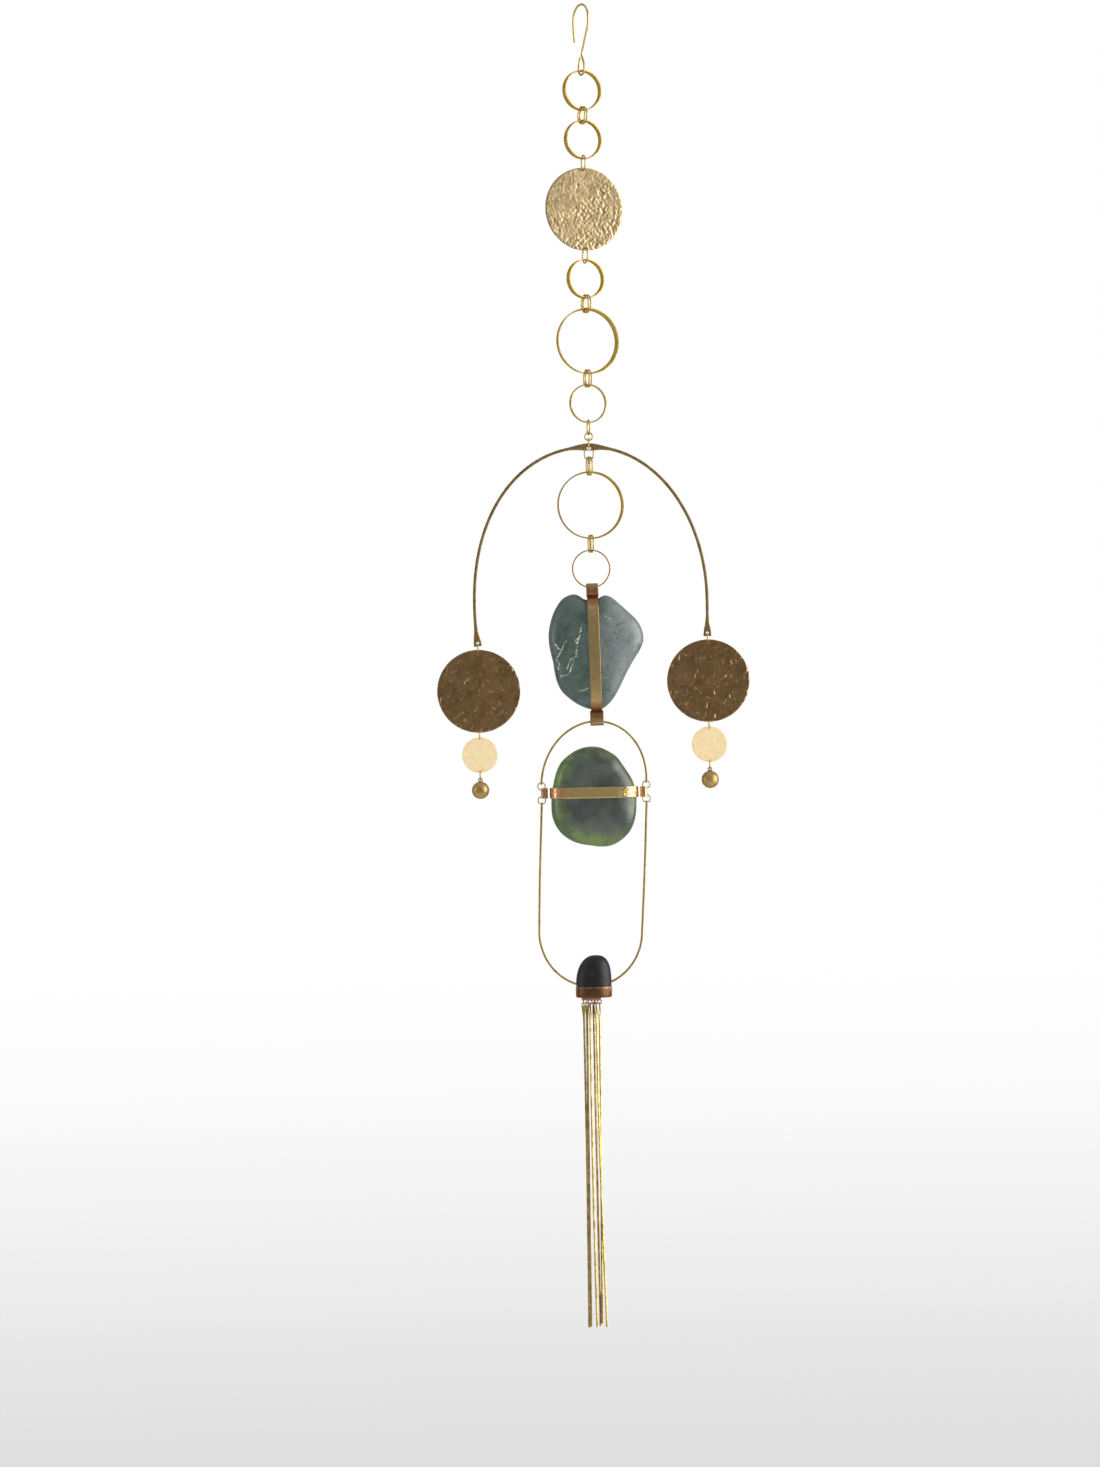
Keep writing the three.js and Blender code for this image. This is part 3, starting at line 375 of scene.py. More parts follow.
def ribbon(outline, sheet, width, uneven, seed, relief):
    """A closed ribbon whose inside is the outline's (depth, run) pairs.

    Its vertices are (width, depth, run).
    """
    closed = catmull_rom(outline, max(60, len(outline) * 5), closed=True)
    along = unit(np.roll(closed, -1, axis=0) - np.roll(closed, 1, axis=0))
    outward = columns(along[:, 1], -along[:, 0])
    if (closed * outward).sum() < 0:
        outward = -outward
    line = closed + outward * sheet / 2
    path = columns(0, *line.T)
    out3 = columns(0, *outward.T)
    steps = 25
    share = np.linspace(-1, 1, steps)
    left = width / 2 * (1 + uneven * rough_field(path, 9, seed))
    right = width / 2 * (1 + uneven * rough_field(path, 9, seed + 9))
    over = share[None, :] * np.where(share[None, :] < 0, left[:, None], right[:, None])
    edge = (1 - np.abs(share) ** 14) ** (1 / 3)
    half = sheet / 2 * np.maximum(edge, 0.3)
    spread = path[:, None, :] + over[..., None] * np.array((1, 0, 0))
    flat = spread.reshape(-1, 3)
    dents = relief * (dimples(flat, 2.3, seed) - 0.5).reshape(over.shape)
    dents = dents + relief * 0.7 * rough_field(flat, 3.4, seed + 4).reshape(over.shape)
    outer = spread + (half[None, :] + dents)[..., None] * out3[:, None, :]
    inner = spread - np.broadcast_to(half[None, :], over.shape)[..., None] * out3[:, None, :]
    rings = np.concatenate([outer, inner[:, ::-1]], axis=1)
    return skin(rings, closed=True)


def oblong(half_depth, half_height, middle_height, count=28):
    """The outline of a strap's end loop: an oval with squarer corners."""
    turn = full_turn(count)
    depth, height = [np.sign(v) * np.abs(v) ** 0.7 for v in (np.cos(turn), np.sin(turn))]
    return columns(half_depth * depth, middle_height + half_height * height)


def bead(centre, radius, squash, around=14, layers=8):
    """A small round blob, a little flattened along Y."""
    rings = []
    for k in range(layers + 1):
        t = math.pi * (0.02 + 0.96 * k / layers)
        turn = full_turn(around)
        reach = radius * math.sin(t)
        rings.append(columns(reach * np.cos(turn), -radius * squash * math.cos(t), reach * np.sin(turn)))
    vertices, faces = skin(np.array(rings))
    return vertices + centre, faces


def block(centre, size):
    """A rounded block along X."""
    path = np.linspace((-size[0] / 2, 0, 0), (size[0] / 2, 0, 0), 6)
    vertices, faces = bar(path, (0, 1, 0), size[2], size[1], 20, 6.0)
    return vertices + centre, faces


# ---------- materials ----------
RAMP_INPUTS = ("Value", "From Min", "From Max", "To Min", "To Max")


class Tree:
    """A short way to write nodes."""

    def __init__(self, tree):
        self.tree = tree

    def add(self, kind, **settings):
        node = self.tree.nodes.new(kind)
        for key, value in settings.items():
            setattr(node, key, value)
        return node

    def feed(self, target, value):
        """Links a node's output to an input, or gives the input a plain value or colour."""
        if isinstance(value, bpy.types.NodeSocket):
            self.tree.links.new(value, target)
        else:
            target.default_value = (*value, 1) if isinstance(value, tuple) else value

    def ramp(self, source, start, end, low_value=0.0, high_value=1.0):
        node = self.add("ShaderNodeMapRange", interpolation_type="SMOOTHSTEP")
        for key, value in zip(RAMP_INPUTS, (source, start, end, low_value, high_value)):
            self.feed(node.inputs[key], value)
        return node.outputs["Result"]


class Nodes(Tree):
    """The nodes of one material."""

    def __init__(self, name):
        self.material = bpy.data.materials.new(name)
        self.material.use_nodes = True
        super().__init__(self.material.node_tree)
        self.shader = self.tree.nodes["Principled BSDF"]
        self.place = self.add("ShaderNodeTexCoord").outputs["Object"]

    def set(self, name, value):
        self.feed(self.shader.inputs[name], value)

    def stretched(self, stretch):
        mapping = self.add("ShaderNodeMapping")
        mapping.inputs["Scale"].default_value = stretch
        self.feed(mapping.inputs["Vector"], self.place)
        return mapping.outputs["Vector"]

    def noise(self, size_mm, detail=4.0, rough=0.55, stretch=(1, 1, 1), distortion=0.0):
        node = self.add("ShaderNodeTexNoise")
        node.inputs["Scale"].default_value = 1000 / size_mm
        node.inputs["Detail"].default_value = detail
        node.inputs["Roughness"].default_value = rough
        node.inputs["Distortion"].default_value = distortion
        self.feed(node.inputs["Vector"], self.stretched(stretch))
        return node.outputs["Fac"]

    def cells(self, size_mm):
        node = self.add("ShaderNodeTexVoronoi", feature="SMOOTH_F1")
        node.inputs["Scale"].default_value = 1000 / size_mm
        self.feed(node.inputs["Vector"], self.place)
        return node.outputs["Distance"]

    def tone(self):
        return self.add("ShaderNodeAttribute", attribute_name="tone").outputs["Fac"]

    def mix(self, factor, first, second):
        node = self.add("ShaderNodeMix", data_type="RGBA")
        for key, value in (("Factor", factor), (6, first), (7, second)):
            self.feed(node.inputs[key], value)
        return node.outputs[2]

    def maths(self, operation, first, second):
        node = self.add("ShaderNodeMath", operation=operation)
        self.feed(node.inputs[0], first)
        self.feed(node.inputs[1], second)
        return node.outputs[0]

    def wander(self, source, cloud, amount):
        """The source, pushed up and down by the cloud."""
        return self.maths("ADD", source, self.maths("MULTIPLY", self.maths("SUBTRACT", cloud, 0.5), amount))

    def bump(self, layers):
        """Stacks (height, distance in mm, strength) bump layers and feeds the shader's normal."""
        normal = None
        for height, distance, strength in layers:
            node = self.add("ShaderNodeBump")
            node.inputs["Distance"].default_value = distance * MM
            node.inputs["Strength"].default_value = strength
            self.feed(node.inputs["Height"], height)
            if normal:
                self.feed(node.inputs["Normal"], normal)
            normal = node.outputs["Normal"]
        self.set("Normal", normal)


def worked_metal(name, light, dark, stain, roughness, marks_mm, marks_depth, stain_mm=6.0,
                 grain=(1, 1, 1), metallic=1.0, scratch_depth=0.02):
    """Brass with cloudy tarnish, small stains, uneven polish, hammer marks and fine scratches."""
    n = Nodes(name)
    cloud = n.noise(stain_mm, 5, 0.6)
    colour = n.mix(n.ramp(cloud, 0.38, 0.68), light, dark)
    spots = n.ramp(n.noise(stain_mm * 0.33, 6, 0.7), 0.52, 0.72)
    colour = n.mix(spots, colour, stain)
    n.set("Base Color", colour)
    n.set("Metallic", metallic)
    n.set("Specular Tint", light)
    n.set("Roughness", n.ramp(n.noise(2.1, 4, 0.6, grain), 0.3, 0.75, *roughness))
    scratches = n.noise(0.35, 3, 0.5, grain)
    n.bump([(n.cells(marks_mm), marks_depth, 0.8), (scratches, scratch_depth, 0.5)])
    return n


def toned_metal(name, first, second, stain, roughness, marks_mm, marks_depth):
    """The same, with its colour going from first to second along the piece's own tone."""
    n = worked_metal(name, second, second, stain, roughness, marks_mm, marks_depth)
    cloud = n.noise(5.0, 5, 0.6)
    colour = n.mix(n.ramp(n.wander(n.tone(), cloud, 0.9), 0.25, 0.75), first, second)
    spots = n.ramp(n.noise(1.6, 6, 0.7), 0.55, 0.75)
    n.set("Base Color", n.mix(spots, colour, stain))
    return n.material


BRIGHT = worked_metal(
    "bright_brass", (0.80, 0.58, 0.15), (0.64, 0.44, 0.10), (0.36, 0.23, 0.05),
    (0.24, 0.36), 9.0, 0.01, scratch_depth=0.004).material
FORGED = worked_metal(
    "forged_wire", (0.80, 0.61, 0.22), (0.44, 0.29, 0.10), (0.26, 0.15, 0.05),
    (0.28, 0.40), 6.0, 0.06, scratch_depth=0.004).material
DULL = worked_metal(
    "dull_brass", (0.46, 0.31, 0.13), (0.32, 0.20, 0.08), (0.16, 0.09, 0.03),
    (0.34, 0.52), 3.0, 0.14, scratch_depth=0.006).material
HOOP_METAL = worked_metal(
    "hammered_strip", (0.82, 0.61, 0.20), (0.62, 0.43, 0.12), (0.28, 0.18, 0.05),
    (0.26, 0.4), 3.2, 0.12, scratch_depth=0.006).material
BRONZE = worked_metal(
    "dark_bronze", (0.44, 0.275, 0.125), (0.33, 0.195, 0.085), (0.19, 0.105, 0.045),
    (0.18, 0.32), 2.2, 0.08, stain_mm=9.0, grain=(1, 1, 0.5), scratch_depth=0.01).material
# Small discs: partly their own pale gold, partly a painted reflection. The near-diffuse pale (metallic 0.1)
# stands in for the light the discs catch.
PALE_AND_PAINTED_REFLECTION = worked_metal(
    "pale_gold_and_painted_reflection", (0.88, 0.71, 0.43), (0.82, 0.64, 0.36), (0.74, 0.54, 0.27),
    (0.42, 0.55), 1.3, 0.04, stain_mm=3.0, metallic=0.1).material
TAN = worked_metal(
    "planished_brass", (0.66, 0.51, 0.29), (0.50, 0.36, 0.19), (0.31, 0.21, 0.10),
    (0.32, 0.46), 1.9, 0.05, stain_mm=9.0, scratch_depth=0.01).material
BALL = worked_metal(
    "satin_brass", (0.60, 0.43, 0.18), (0.48, 0.32, 0.12), (0.30, 0.19, 0.07),
    (0.42, 0.52), 9.0, 0.02).material
STRAP_METAL = toned_metal(
    "strap_copper", (0.40, 0.19, 0.09), (0.50, 0.36, 0.16), (0.24, 0.14, 0.06),
    (0.36, 0.54), 2.6, 0.10)
BAND_METAL = toned_metal(
    "band_copper", (0.74, 0.42, 0.22), (0.78, 0.57, 0.24), (0.36, 0.22, 0.08),
    (0.18, 0.36), 2.0, 0.18)
CAP_METAL = toned_metal(
    "cap_copper", (0.17, 0.085, 0.04), (0.55, 0.35, 0.20), (0.08, 0.04, 0.02),
    (0.36, 0.55), 2.4, 0.10)


def jade_material():
    """Grey-green stone with a painted sheen: paler grey towards +X, darker and greener on the other side; a
    pale vein where the tone says, small pits.
    """
    n = Nodes("grey_green_stone")
    cloud = n.noise(22, 6, 0.62, distortion=0.8)
    colour = n.mix(n.ramp(cloud, 0.38, 0.62), (0.018, 0.045, 0.030), (0.055, 0.085, 0.080))
    side = n.add("ShaderNodeSeparateXYZ")
    n.feed(side.inputs["Vector"], n.place)
    # painted sheen: the +X half is mixed towards pale grey, standing in for the soft light's sheen on that
    # side
    pale = n.ramp(n.wander(side.outputs["X"], cloud, 0.04), -0.010, 0.030, 0, 0.85)
    colour = n.mix(pale, colour, (0.19, 0.215, 0.215))
    patches = n.ramp(n.noise(8, 6, 0.68, distortion=1.4), 0.50, 0.68, 0, 0.8)
    colour = n.mix(patches, colour, (0.038, 0.085, 0.050))
    specks = n.ramp(n.noise(1.1, 5, 0.72), 0.60, 0.76, 0, 0.6)
    colour = n.mix(specks, colour, (0.22, 0.26, 0.22))
    threads = n.noise(13, 7, 0.74, distortion=1.8)
    thin = n.ramp(n.maths("ABSOLUTE", n.maths("SUBTRACT", threads, 0.5), 0), 0.0, 0.012, 0.30, 0.0)
    colour = n.mix(thin, colour, (0.24, 0.28, 0.23))
    torn = n.maths("MULTIPLY", n.tone(), n.ramp(n.noise(1.7, 6, 0.8), 0.36, 0.62, 0.25, 1.0))
    colour = n.mix(n.ramp(torn, 0.22, 0.85), colour, (0.58, 0.60, 0.46))
    n.set("Base Color", colour)
    n.set("Roughness", n.ramp(n.noise(4, 4, 0.6), 0.3, 0.7, 0.30, 0.44))
    n.set("Specular IOR Level", 0.95)
    pits = n.ramp(n.noise(1.6, 4, 0.6), 0.30, 0.40)
    n.bump([(n.noise(5, 5, 0.6), 0.25, 0.5), (pits, 0.12, 0.5), (n.noise(0.9, 3, 0.5), 0.04, 0.4)])
    return n.material


def green_stone_material():
    """Dark stone, see-through green towards its thin rim; the tone is 1 at the rim."""
    n = Nodes("dark_green_stone")
    cloud = n.noise(20, 6, 0.60, distortion=0.8)
    middle_colour = n.mix(n.ramp(cloud, 0.38, 0.64), (0.030, 0.036, 0.032), (0.062, 0.072, 0.060))
    rim_colour = n.mix(n.ramp(n.noise(11, 4, 0.6), 0.4, 0.62), (0.045, 0.095, 0.025), (0.13, 0.19, 0.035))
    near_rim = n.ramp(n.wander(n.tone(), cloud, 0.35), 0.42, 1.05)
    colour = n.mix(near_rim, middle_colour, rim_colour)
    specks = n.ramp(n.noise(1.4, 5, 0.72), 0.62, 0.80, 0, 0.5)
    colour = n.mix(specks, colour, (0.16, 0.19, 0.13))
    n.set("Base Color", colour)
    n.set("Roughness", n.ramp(n.noise(5, 4, 0.6), 0.3, 0.7, 0.26, 0.40))
    n.set("Specular IOR Level", 0.9)
    pits = n.ramp(n.noise(2.2, 4, 0.6), 0.28, 0.36)
    n.bump([(n.noise(6, 5, 0.55), 0.22, 0.5), (pits, 0.15, 0.5), (n.noise(0.8, 3, 0.5), 0.04, 0.4)])
    return n.material


def black_stone_material():
    """Almost black, softly polished."""
    n = Nodes("black_stone")
    colour = n.mix(n.ramp(n.noise(7, 5, 0.6), 0.4, 0.7), (0.004, 0.004, 0.0045), (0.010, 0.0095, 0.0095))
    n.set("Base Color", colour)
    n.set("Roughness", n.ramp(n.noise(3, 4, 0.6), 0.3, 0.7, 0.40, 0.52))
    n.set("Specular IOR Level", 0.45)
    n.bump([(n.noise(3, 4, 0.6), 0.08, 0.4), (n.noise(0.6, 3, 0.5), 0.03, 0.4)])
    return n.material


# ---------- hook ----------
def build_hook():
    wire, half_width, rail, yaw = 1.5, 12.1, 10.0, 27.0
    neck, eye_bottom, eye_half = -37.3, -53.3, 4.6
    crown = rail + wire / 2
    turn = math.pi * (1 - np.arange(11) / 10)
    arc = [(half_width * math.cos(t), -rail + crown * math.sin(t)) for t in turn]
    eye_middle = eye_bottom + wire / 2 + eye_half * 1.05
    eye = [
        (eye_half * 0.8, eye_middle + 4.4), (eye_half, eye_middle + 0.3),
        (eye_half * 0.72, eye_middle - eye_half * 0.78), (0, eye_bottom + wire / 2),
        (-eye_half * 0.72, eye_middle - eye_half * 0.78), (-eye_half, eye_middle + 0.3),
        (-eye_half * 0.8, eye_middle + 4.4), (-1.9, neck - 1.8),
    ]
    tip = [(-10.6, -26.1), (-11.5, -19.5)]
    shank = [(11.3, -17.2), (8.9, -21.4), (4.6, -29.5), (0.9, neck)]
    route = [*tip, *arc, *shank, *eye]
    path = catmull_rom([(u, 0, z) for u, z in route], 260)
    uneven = rough_field(path, 12, 4)
    width, sheet = wire * (0.97 + 0.03 * uneven), wire * (0.95 - 0.05 * uneven)
    vertices, faces = bar(path, (0, 1, 0), width, sheet, 14, 2.4)
    add_piece("hanging_hook", vertices @ yaw_matrix(yaw - 90).T, faces, BRIGHT, "bright_brass")


# ---------- chain ----------
CHAIN_RINGS = {  # diameter, width, yaw, flare
    1: (30.6, 5.6, 24, 0.0), 2: (29.7, 5.6, 24, 0.0), 3: (30.0, 5.8, 26, 0.0), 4: (49.8, 5.4, 22, 0.15),
    5: (29.6, 2.8, 20, 0.0), 6: (51.2, 4.8, 13, 0.1), 7: (29.4, 1.9, 7, 0.0),
}
JUMP_RINGS = {  # outside diameter, wire, yaw
    "1a": (13.78, 1.15, 23), "1b": (13.78, 1.15, 25), "2": (12.6, 1.15, 14), "3": (12.45, 1.15, 19),
    "4a": (14.35, 1.15, 23), "4b": (14.35, 1.15, 25), "5a": (13.9, 1.15, 19), "5b": (13.9, 1.15, 21),
    "6": (12.2, 1.15, 9), "7": (6.9, 1.1, -90), "8": (8.8, 1.1, 0),
    "10a": (14.7, 1.15, 11), "10b": (14.7, 1.15, 13), "11a": (13.9, 1.15, 9), "11b": (13.9, 1.15, 11),
}


def build_chain():
    for number, (diameter, width, yaw, flare) in CHAIN_RINGS.items():
        node = f"chain_ring_{number}"
        ring = flat_band_ring(middle(node), diameter, width, 1.0, flare, yaw, number)
        add_piece(node, *ring, BRIGHT, "bright_brass")
    for index, (name, (outside, wire, yaw)) in enumerate(JUMP_RINGS.items()):
        node = f"jump_ring_{name}"
        ring = wire_ring(middle(node), outside, wire, 90 + yaw, joint=0.1 + 0.037 * index)
        add_piece(node, *ring, BRIGHT, "bright_brass")
    oval = wire_ring(middle("jump_ring_9"), 7.8, 1.1, 0, height=11.4)
    add_piece("jump_ring_9", *oval, BRIGHT, "bright_brass")


def build_chain_disc():
    def relief(plane):
        bow = 0.30 * rough_field(plane, 26, 1)
        towards_corner = 0.012 * (plane[:, 0] - plane[:, 2])
        clusters = 0.10 + 0.26 * smooth(rough_field(plane, 9, 7) + towards_corner, -0.3, 0.6)
        return clusters * (dimples(plane, 2.3, 1) - 0.5) + 0.05 * rough_field(plane, 1.9, 2) + bow

    def edge(turn):
        lower_right = np.clip(np.cos(turn + 0.6), 0, 1) ** 2
        return (0.10 + 0.55 * lower_right) * nibbled(turn, 0.9, 3)

    holes = [(0, side * (31.4 - 2.3), 1.3) for side in (1, -1)]
    disc = hammered_disc(middle("chain_disc"), 62.8, 1.0, holes, 20, 0.62, relief, edge)
    add_piece("chain_disc", *disc, TAN, "tan_disc", sharp=60)


# ---------- arch and pendants ----------
ARCH_Y = -1.93  # the arch and its pendants hang a little in front of the chain
ROD = 2.3
ARCH = {
    "left": {"half_width": 89.1, "fullness": 2.15, "drop": 118, "leg": 149.7, "pinch": 2.1},
    "right": {"half_width": 87.4, "fullness": 2.02, "drop": 117, "leg": 145.2, "pinch": 0.3},
}


def arch_side(half_width, fullness, drop, leg, pinch):
    """Half of the arch from its apex to its foot, as (x, z)."""
    turn = np.pi / 2 * np.arange(1, 40) / 39
    across = half_width * np.sin(turn) ** (2 / fullness)
    bend = columns(across, -drop * (1 - np.clip(np.cos(turn), 0, 1) ** (2 / fullness)))
    share = np.linspace(0, 1, 20)[1:]
    straight = columns(half_width - pinch * share ** 2, -drop - (leg - drop) * share)
    return np.concatenate([bend, straight])


def build_arch():
    left, right = arch_side(**ARCH["left"]), arch_side(**ARCH["right"])
    outline = np.concatenate([(left * (-1, 1))[::-1], [(0, 0)], right])
    path = even_path(columns(outline[:, 0], 0, outline[:, 1]), 0.9)
    leg = np.where(path[:, 0] < 0, ARCH["left"]["leg"], ARCH["right"]["leg"])
    near_apex = 1 - smooth(np.abs(path[:, 0]), 0, 17)
    near_foot = 1 - smooth(leg + path[:, 2], 0, 17)
    struck = rough_field(path, 4.5, 2) + 0.6 * rough_field(path, 2.2, 3)
    width = ROD * (1 + 0.07 * struck) + (5.8 - ROD) * near_apex + (6.1 - ROD) * near_foot
    sheet = ROD * (1 - 0.07 * struck) + (1.2 - ROD) * near_apex + (1.1 - ROD) * near_foot
    vertices, faces = bar(path, (0, 1, 0), width, sheet, 12, 2.6, twist=0.08 * rough_field(path, 9, 8))
    height = high("arch")[2] - 5.8 / 2
    piece = add_piece("arch", vertices + (0, ARCH_Y, height), faces, DULL, "dull_brass")
    drills = [(0, -0.6, 1.65)]  # x, z, radius
    for sign, side in ((-1, ARCH["left"]), (1, ARCH["right"])):
        drills.append((sign * (side["half_width"] - side["pinch"] * 0.92), -side["leg"] + 2.4, 1.1))
    cut_with(piece, [drill((x, ARCH_Y, height + z), radius, 8, "y") for x, z, radius in drills])


def drill(centre, radius, length, axis, sides=24):
    """A drill bit for cut_with."""
    turn = full_turn(sides)
    circle = columns(radius * np.cos(turn), 0, radius * np.sin(turn))
    rings = np.stack([circle + (0, -length / 2, 0), circle + (0, length / 2, 0)])
    if axis == "x":
        rings = rings[..., [1, 0, 2]]
    vertices, faces = skin(rings)
    return vertices + np.asarray(centre), faces


def cut_with(piece, tools):
    """Subtracts closed shapes from a piece, for good."""
    cutter = add_object("cutter", make_mesh("cutter", *merge(*tools)))
    modifier = piece.modifiers.new("holes", "BOOLEAN")
    modifier.operation = "DIFFERENCE"
    modifier.solver = "EXACT"
    modifier.object = cutter
    bpy.context.view_layer.update()
    evaluated = piece.evaluated_get(bpy.context.evaluated_depsgraph_get())
    result = bpy.data.meshes.new_from_object(evaluated)
    piece.modifiers.clear()
    piece.data = result
    result.shade_smooth()
    result.set_sharp_from_angle(angle=math.radians(35))
    bpy.data.objects.remove(cutter)


BALL_RADIUS = 6.6


def build_ball(side, seed):
    """A ball with a fused eye, so slightly uneven that it only shows in its shine."""
    node = f"{side}_ball"
    centre = np.array((middle(node)[0], ARCH_Y, low(node)[2] + BALL_RADIUS))
    radius, layers = BALL_RADIUS - 0.02, 40
    turn = full_turn(64)
    rings = []
    for k in range(layers + 1):
        t = math.pi * (0.004 + 0.992 * k / layers)
        reach = radius * math.sin(t)
        rings.append(columns(reach * np.cos(turn), reach * np.sin(turn), -radius * math.cos(t)))
    vertices, faces = skin(np.array(rings))
    vertices *= (1 + 0.004 * rough_field(vertices, 3.5, seed))[:, None]
    eye = wire_ring((0, 0, BALL_RADIUS + 1.15), 3.8, 0.9, 0, sides=10, around=40)
    collar = bead((0, 0, 6.45), 0.95, 0.95)
    vertices, faces = merge((vertices, faces), eye, collar)
    add_piece(node, vertices + centre, faces, BALL, "bright_brass")


def build_pendant(side, diameter, seed):
    def relief(plane):
        long = plane * (1, 1, 0.62)
        broad = 0.38 * rough_field(long, 7.5, seed)
        broad = broad + 0.14 * (1 + seed) * rough_field(long, 3.2, seed + 4)
        flecks = np.clip(rough_field(plane * (1, 1, 0.5), 1.9, seed + 6) - 0.08, 0, 1)
        return broad + 0.10 * (dimples(long, 2.6, seed) - 0.5) - flecks

    def edge(turn):
        return 0.16 * nibbled(turn, 1.6, seed + 8)

    def fine_relief(plane):
        marks = (0.03 + 0.07 * (seed - 1)) * (dimples(plane, 2.0, seed) - 0.5)
        return marks + 0.05 * rough_field(plane, 8, seed)

    def even_edge(turn):
        return np.full(len(turn), 0.04)

    node = f"{side}_large_disc"
    holes = [(0, sign * (diameter / 2 - 2.2), 1.2) for sign in (1, -1)]
    disc = hammered_disc(middle(node), diameter, 1.0, holes, 0, 0.62, relief, edge)
    add_piece(node, *disc, BRONZE, "bronze_disc", sharp=60)

    node = f"{side}_small_disc"
    holes = [(0, sign * (13.5 - 1.9), 1.2) for sign in (1, -1)]
    disc = hammered_disc(middle(node), 27.0, 1.0, holes, 0, 0.55, fine_relief, even_edge, 120)
    # painted reflection: the near-diffuse pale gold stands in for the light this disc reflects
    add_piece(node, *disc, PALE_AND_PAINTED_REFLECTION, "pale_disc", sharp=60)

    for number, outside in ((1, 7.6), (2, 7.8), (3, 7.9)):
        node = f"{side}_pendant_ring_{number}"
        ring = wire_ring(middle(node), outside, 1.0, 90, joint=0.13 * number, sides=12, around=48)
        add_piece(node, *ring, BRIGHT, "bright_brass")
    build_ball(side, seed)


# ---------- upper stone and strap ----------
UPPER_OUTLINE = [
    (-14.5, 44.3), (-19.5, 43), (-23.6, 40.4), (-29.2, 32.4), (-32.6, 23.6), (-34.3, 15.3), (-34.3, 7.3),
    (-33.2, 0), (-31.7, -7), (-30.9, -13.7), (-29.4, -21.3), (-26, -28.8), (-20.1, -34.8), (-13, -39.9),
    (-5, -43.2), (4.3, -43.2), (12, -36.9), (17, -29.5), (23.5, -17.1), (29.9, -6.4), (34.4, 0.2),
    (37.4, 8), (36.4, 16.1), (32.4, 23.6), (26.6, 29.6), (20.5, 35.5), (13.6, 41.4), (8.6, 42.6),
    (4.3, 40.6), (-2, 39.6), (-6.6, 40.4), (-10.5, 43.2),
]
UPPER_VEINS = [  # routes across the face, as x and z from the stone's middle
    [
        (-9.5, 18), (-11, 13), (-12.6, 8), (-13, 2), (-15.4, -4), (-17.4, -10), (-19.8, -15), (-21.5, -17),
        (-26, -17.8),
    ],
    [(-12, 10), (-14.5, 9), (-13.2, 6)],
    [(-30, 7), (-27.5, 3.5), (-24.5, 2), (-26.5, -2), (-29, -5), (-27, -9), (-28.4, -13)],
    [(-24.5, 2), (-23, 7), (-21.5, 9)],
    [(-13.4, -3), (-18.5, -5), (-20.2, -9), (-22, -13)],
    [(-12.5, -29), (-9, -28.5), (-5.5, -27)],
    [(8, 27), (11, 25), (14, 22.5)],
]


def vein_tone(vertices, routes, width):
    """1 on a vein and 0 away from it, on the face that looks to -Y, and fainter behind."""
    flat = vertices[:, [0, 2]]
    warp = columns(rough_field(vertices, 3.0, 11), rough_field(vertices, 3.0, 12))
    flat = flat + 1.1 * warp
    nearest = np.full(len(flat), 1e9)
    for route in routes:
        for a, b in zip(np.array(route[:-1], float), np.array(route[1:], float)):
            share = np.clip(((flat - a) @ (b - a)) / ((b - a) @ (b - a)), 0, 1)
            nearest = np.minimum(nearest, np.linalg.norm(flat - a - share[:, None] * (b - a), axis=1))
    facing = np.where(vertices[:, 1] < 1.5, 1.0, 0.55)
    return facing * (1 - smooth(nearest, 0.1, width))


def build_upper_stone():
    lean, loop_top, seat_top, seat_foot, loop_foot = -1.0, 52.1, 41.5, -44.3, -55.9
    half_depth, roundness, sheet, gap = 13.5, 2.4, 0.8, 0.62
    top = high("upper_stone_strap")[2] - 0.08
    radius_at = outline_radius(UPPER_OUTLINE)

    def place(vertices):
        return (vertices - (0, 0, loop_top)) @ lean_matrix(lean).T + (0.4, 0, top)

    vertices, faces, _ = pebble(radius_at, half_depth, roundness, 330, 110, 0.4, 3)
    tone = vein_tone(vertices, UPPER_VEINS, 0.85)
    vertices[:, 1] += 0.12 * tone * np.sign(vertices[:, 1])
    add_piece("upper_stone", place(vertices), faces, jade_material(), "jade", tone=tone)

    def end_loop(start, end, width, uneven, seed):
        outline = oblong(2.5, (end - start) / 2 - sheet, (end + start) / 2)
        return ribbon(outline, sheet, width, uneven, seed, 0.05)

    depth_at = depth_under(radius_at, half_depth, roundness, 8.4, True)
    outline = strap_outline(depth_at, seat_foot, seat_top, gap, 24)
    parts = [
        ribbon(outline, sheet - 0.12, 8.4, 0.035, 1, 0.06),
        end_loop(seat_top + 0.4, loop_top, 9.2, 0.02, 2),
        end_loop(loop_foot, seat_foot - 0.4, 10.2, 0.015, 3),
    ]
    for height in (seat_top + 0.6, seat_foot - 0.6):
        parts.append(block((0, 0, height), (7.6, 3.0, 1.9)))
        for x in (-2.4, 0, 2.4):
            parts.append(bead((x, -1.75, height), 0.5, 0.8))
    vertices, faces = merge(*parts)
    ends = np.abs(vertices[:, 2] + 1.5)
    tone = 1 - smooth(ends, 29, 45) + 0.55 * smooth(ends, 46, 50)
    add_piece("upper_stone_strap", place(vertices), faces, STRAP_METAL, "copper_band", tone=tone)


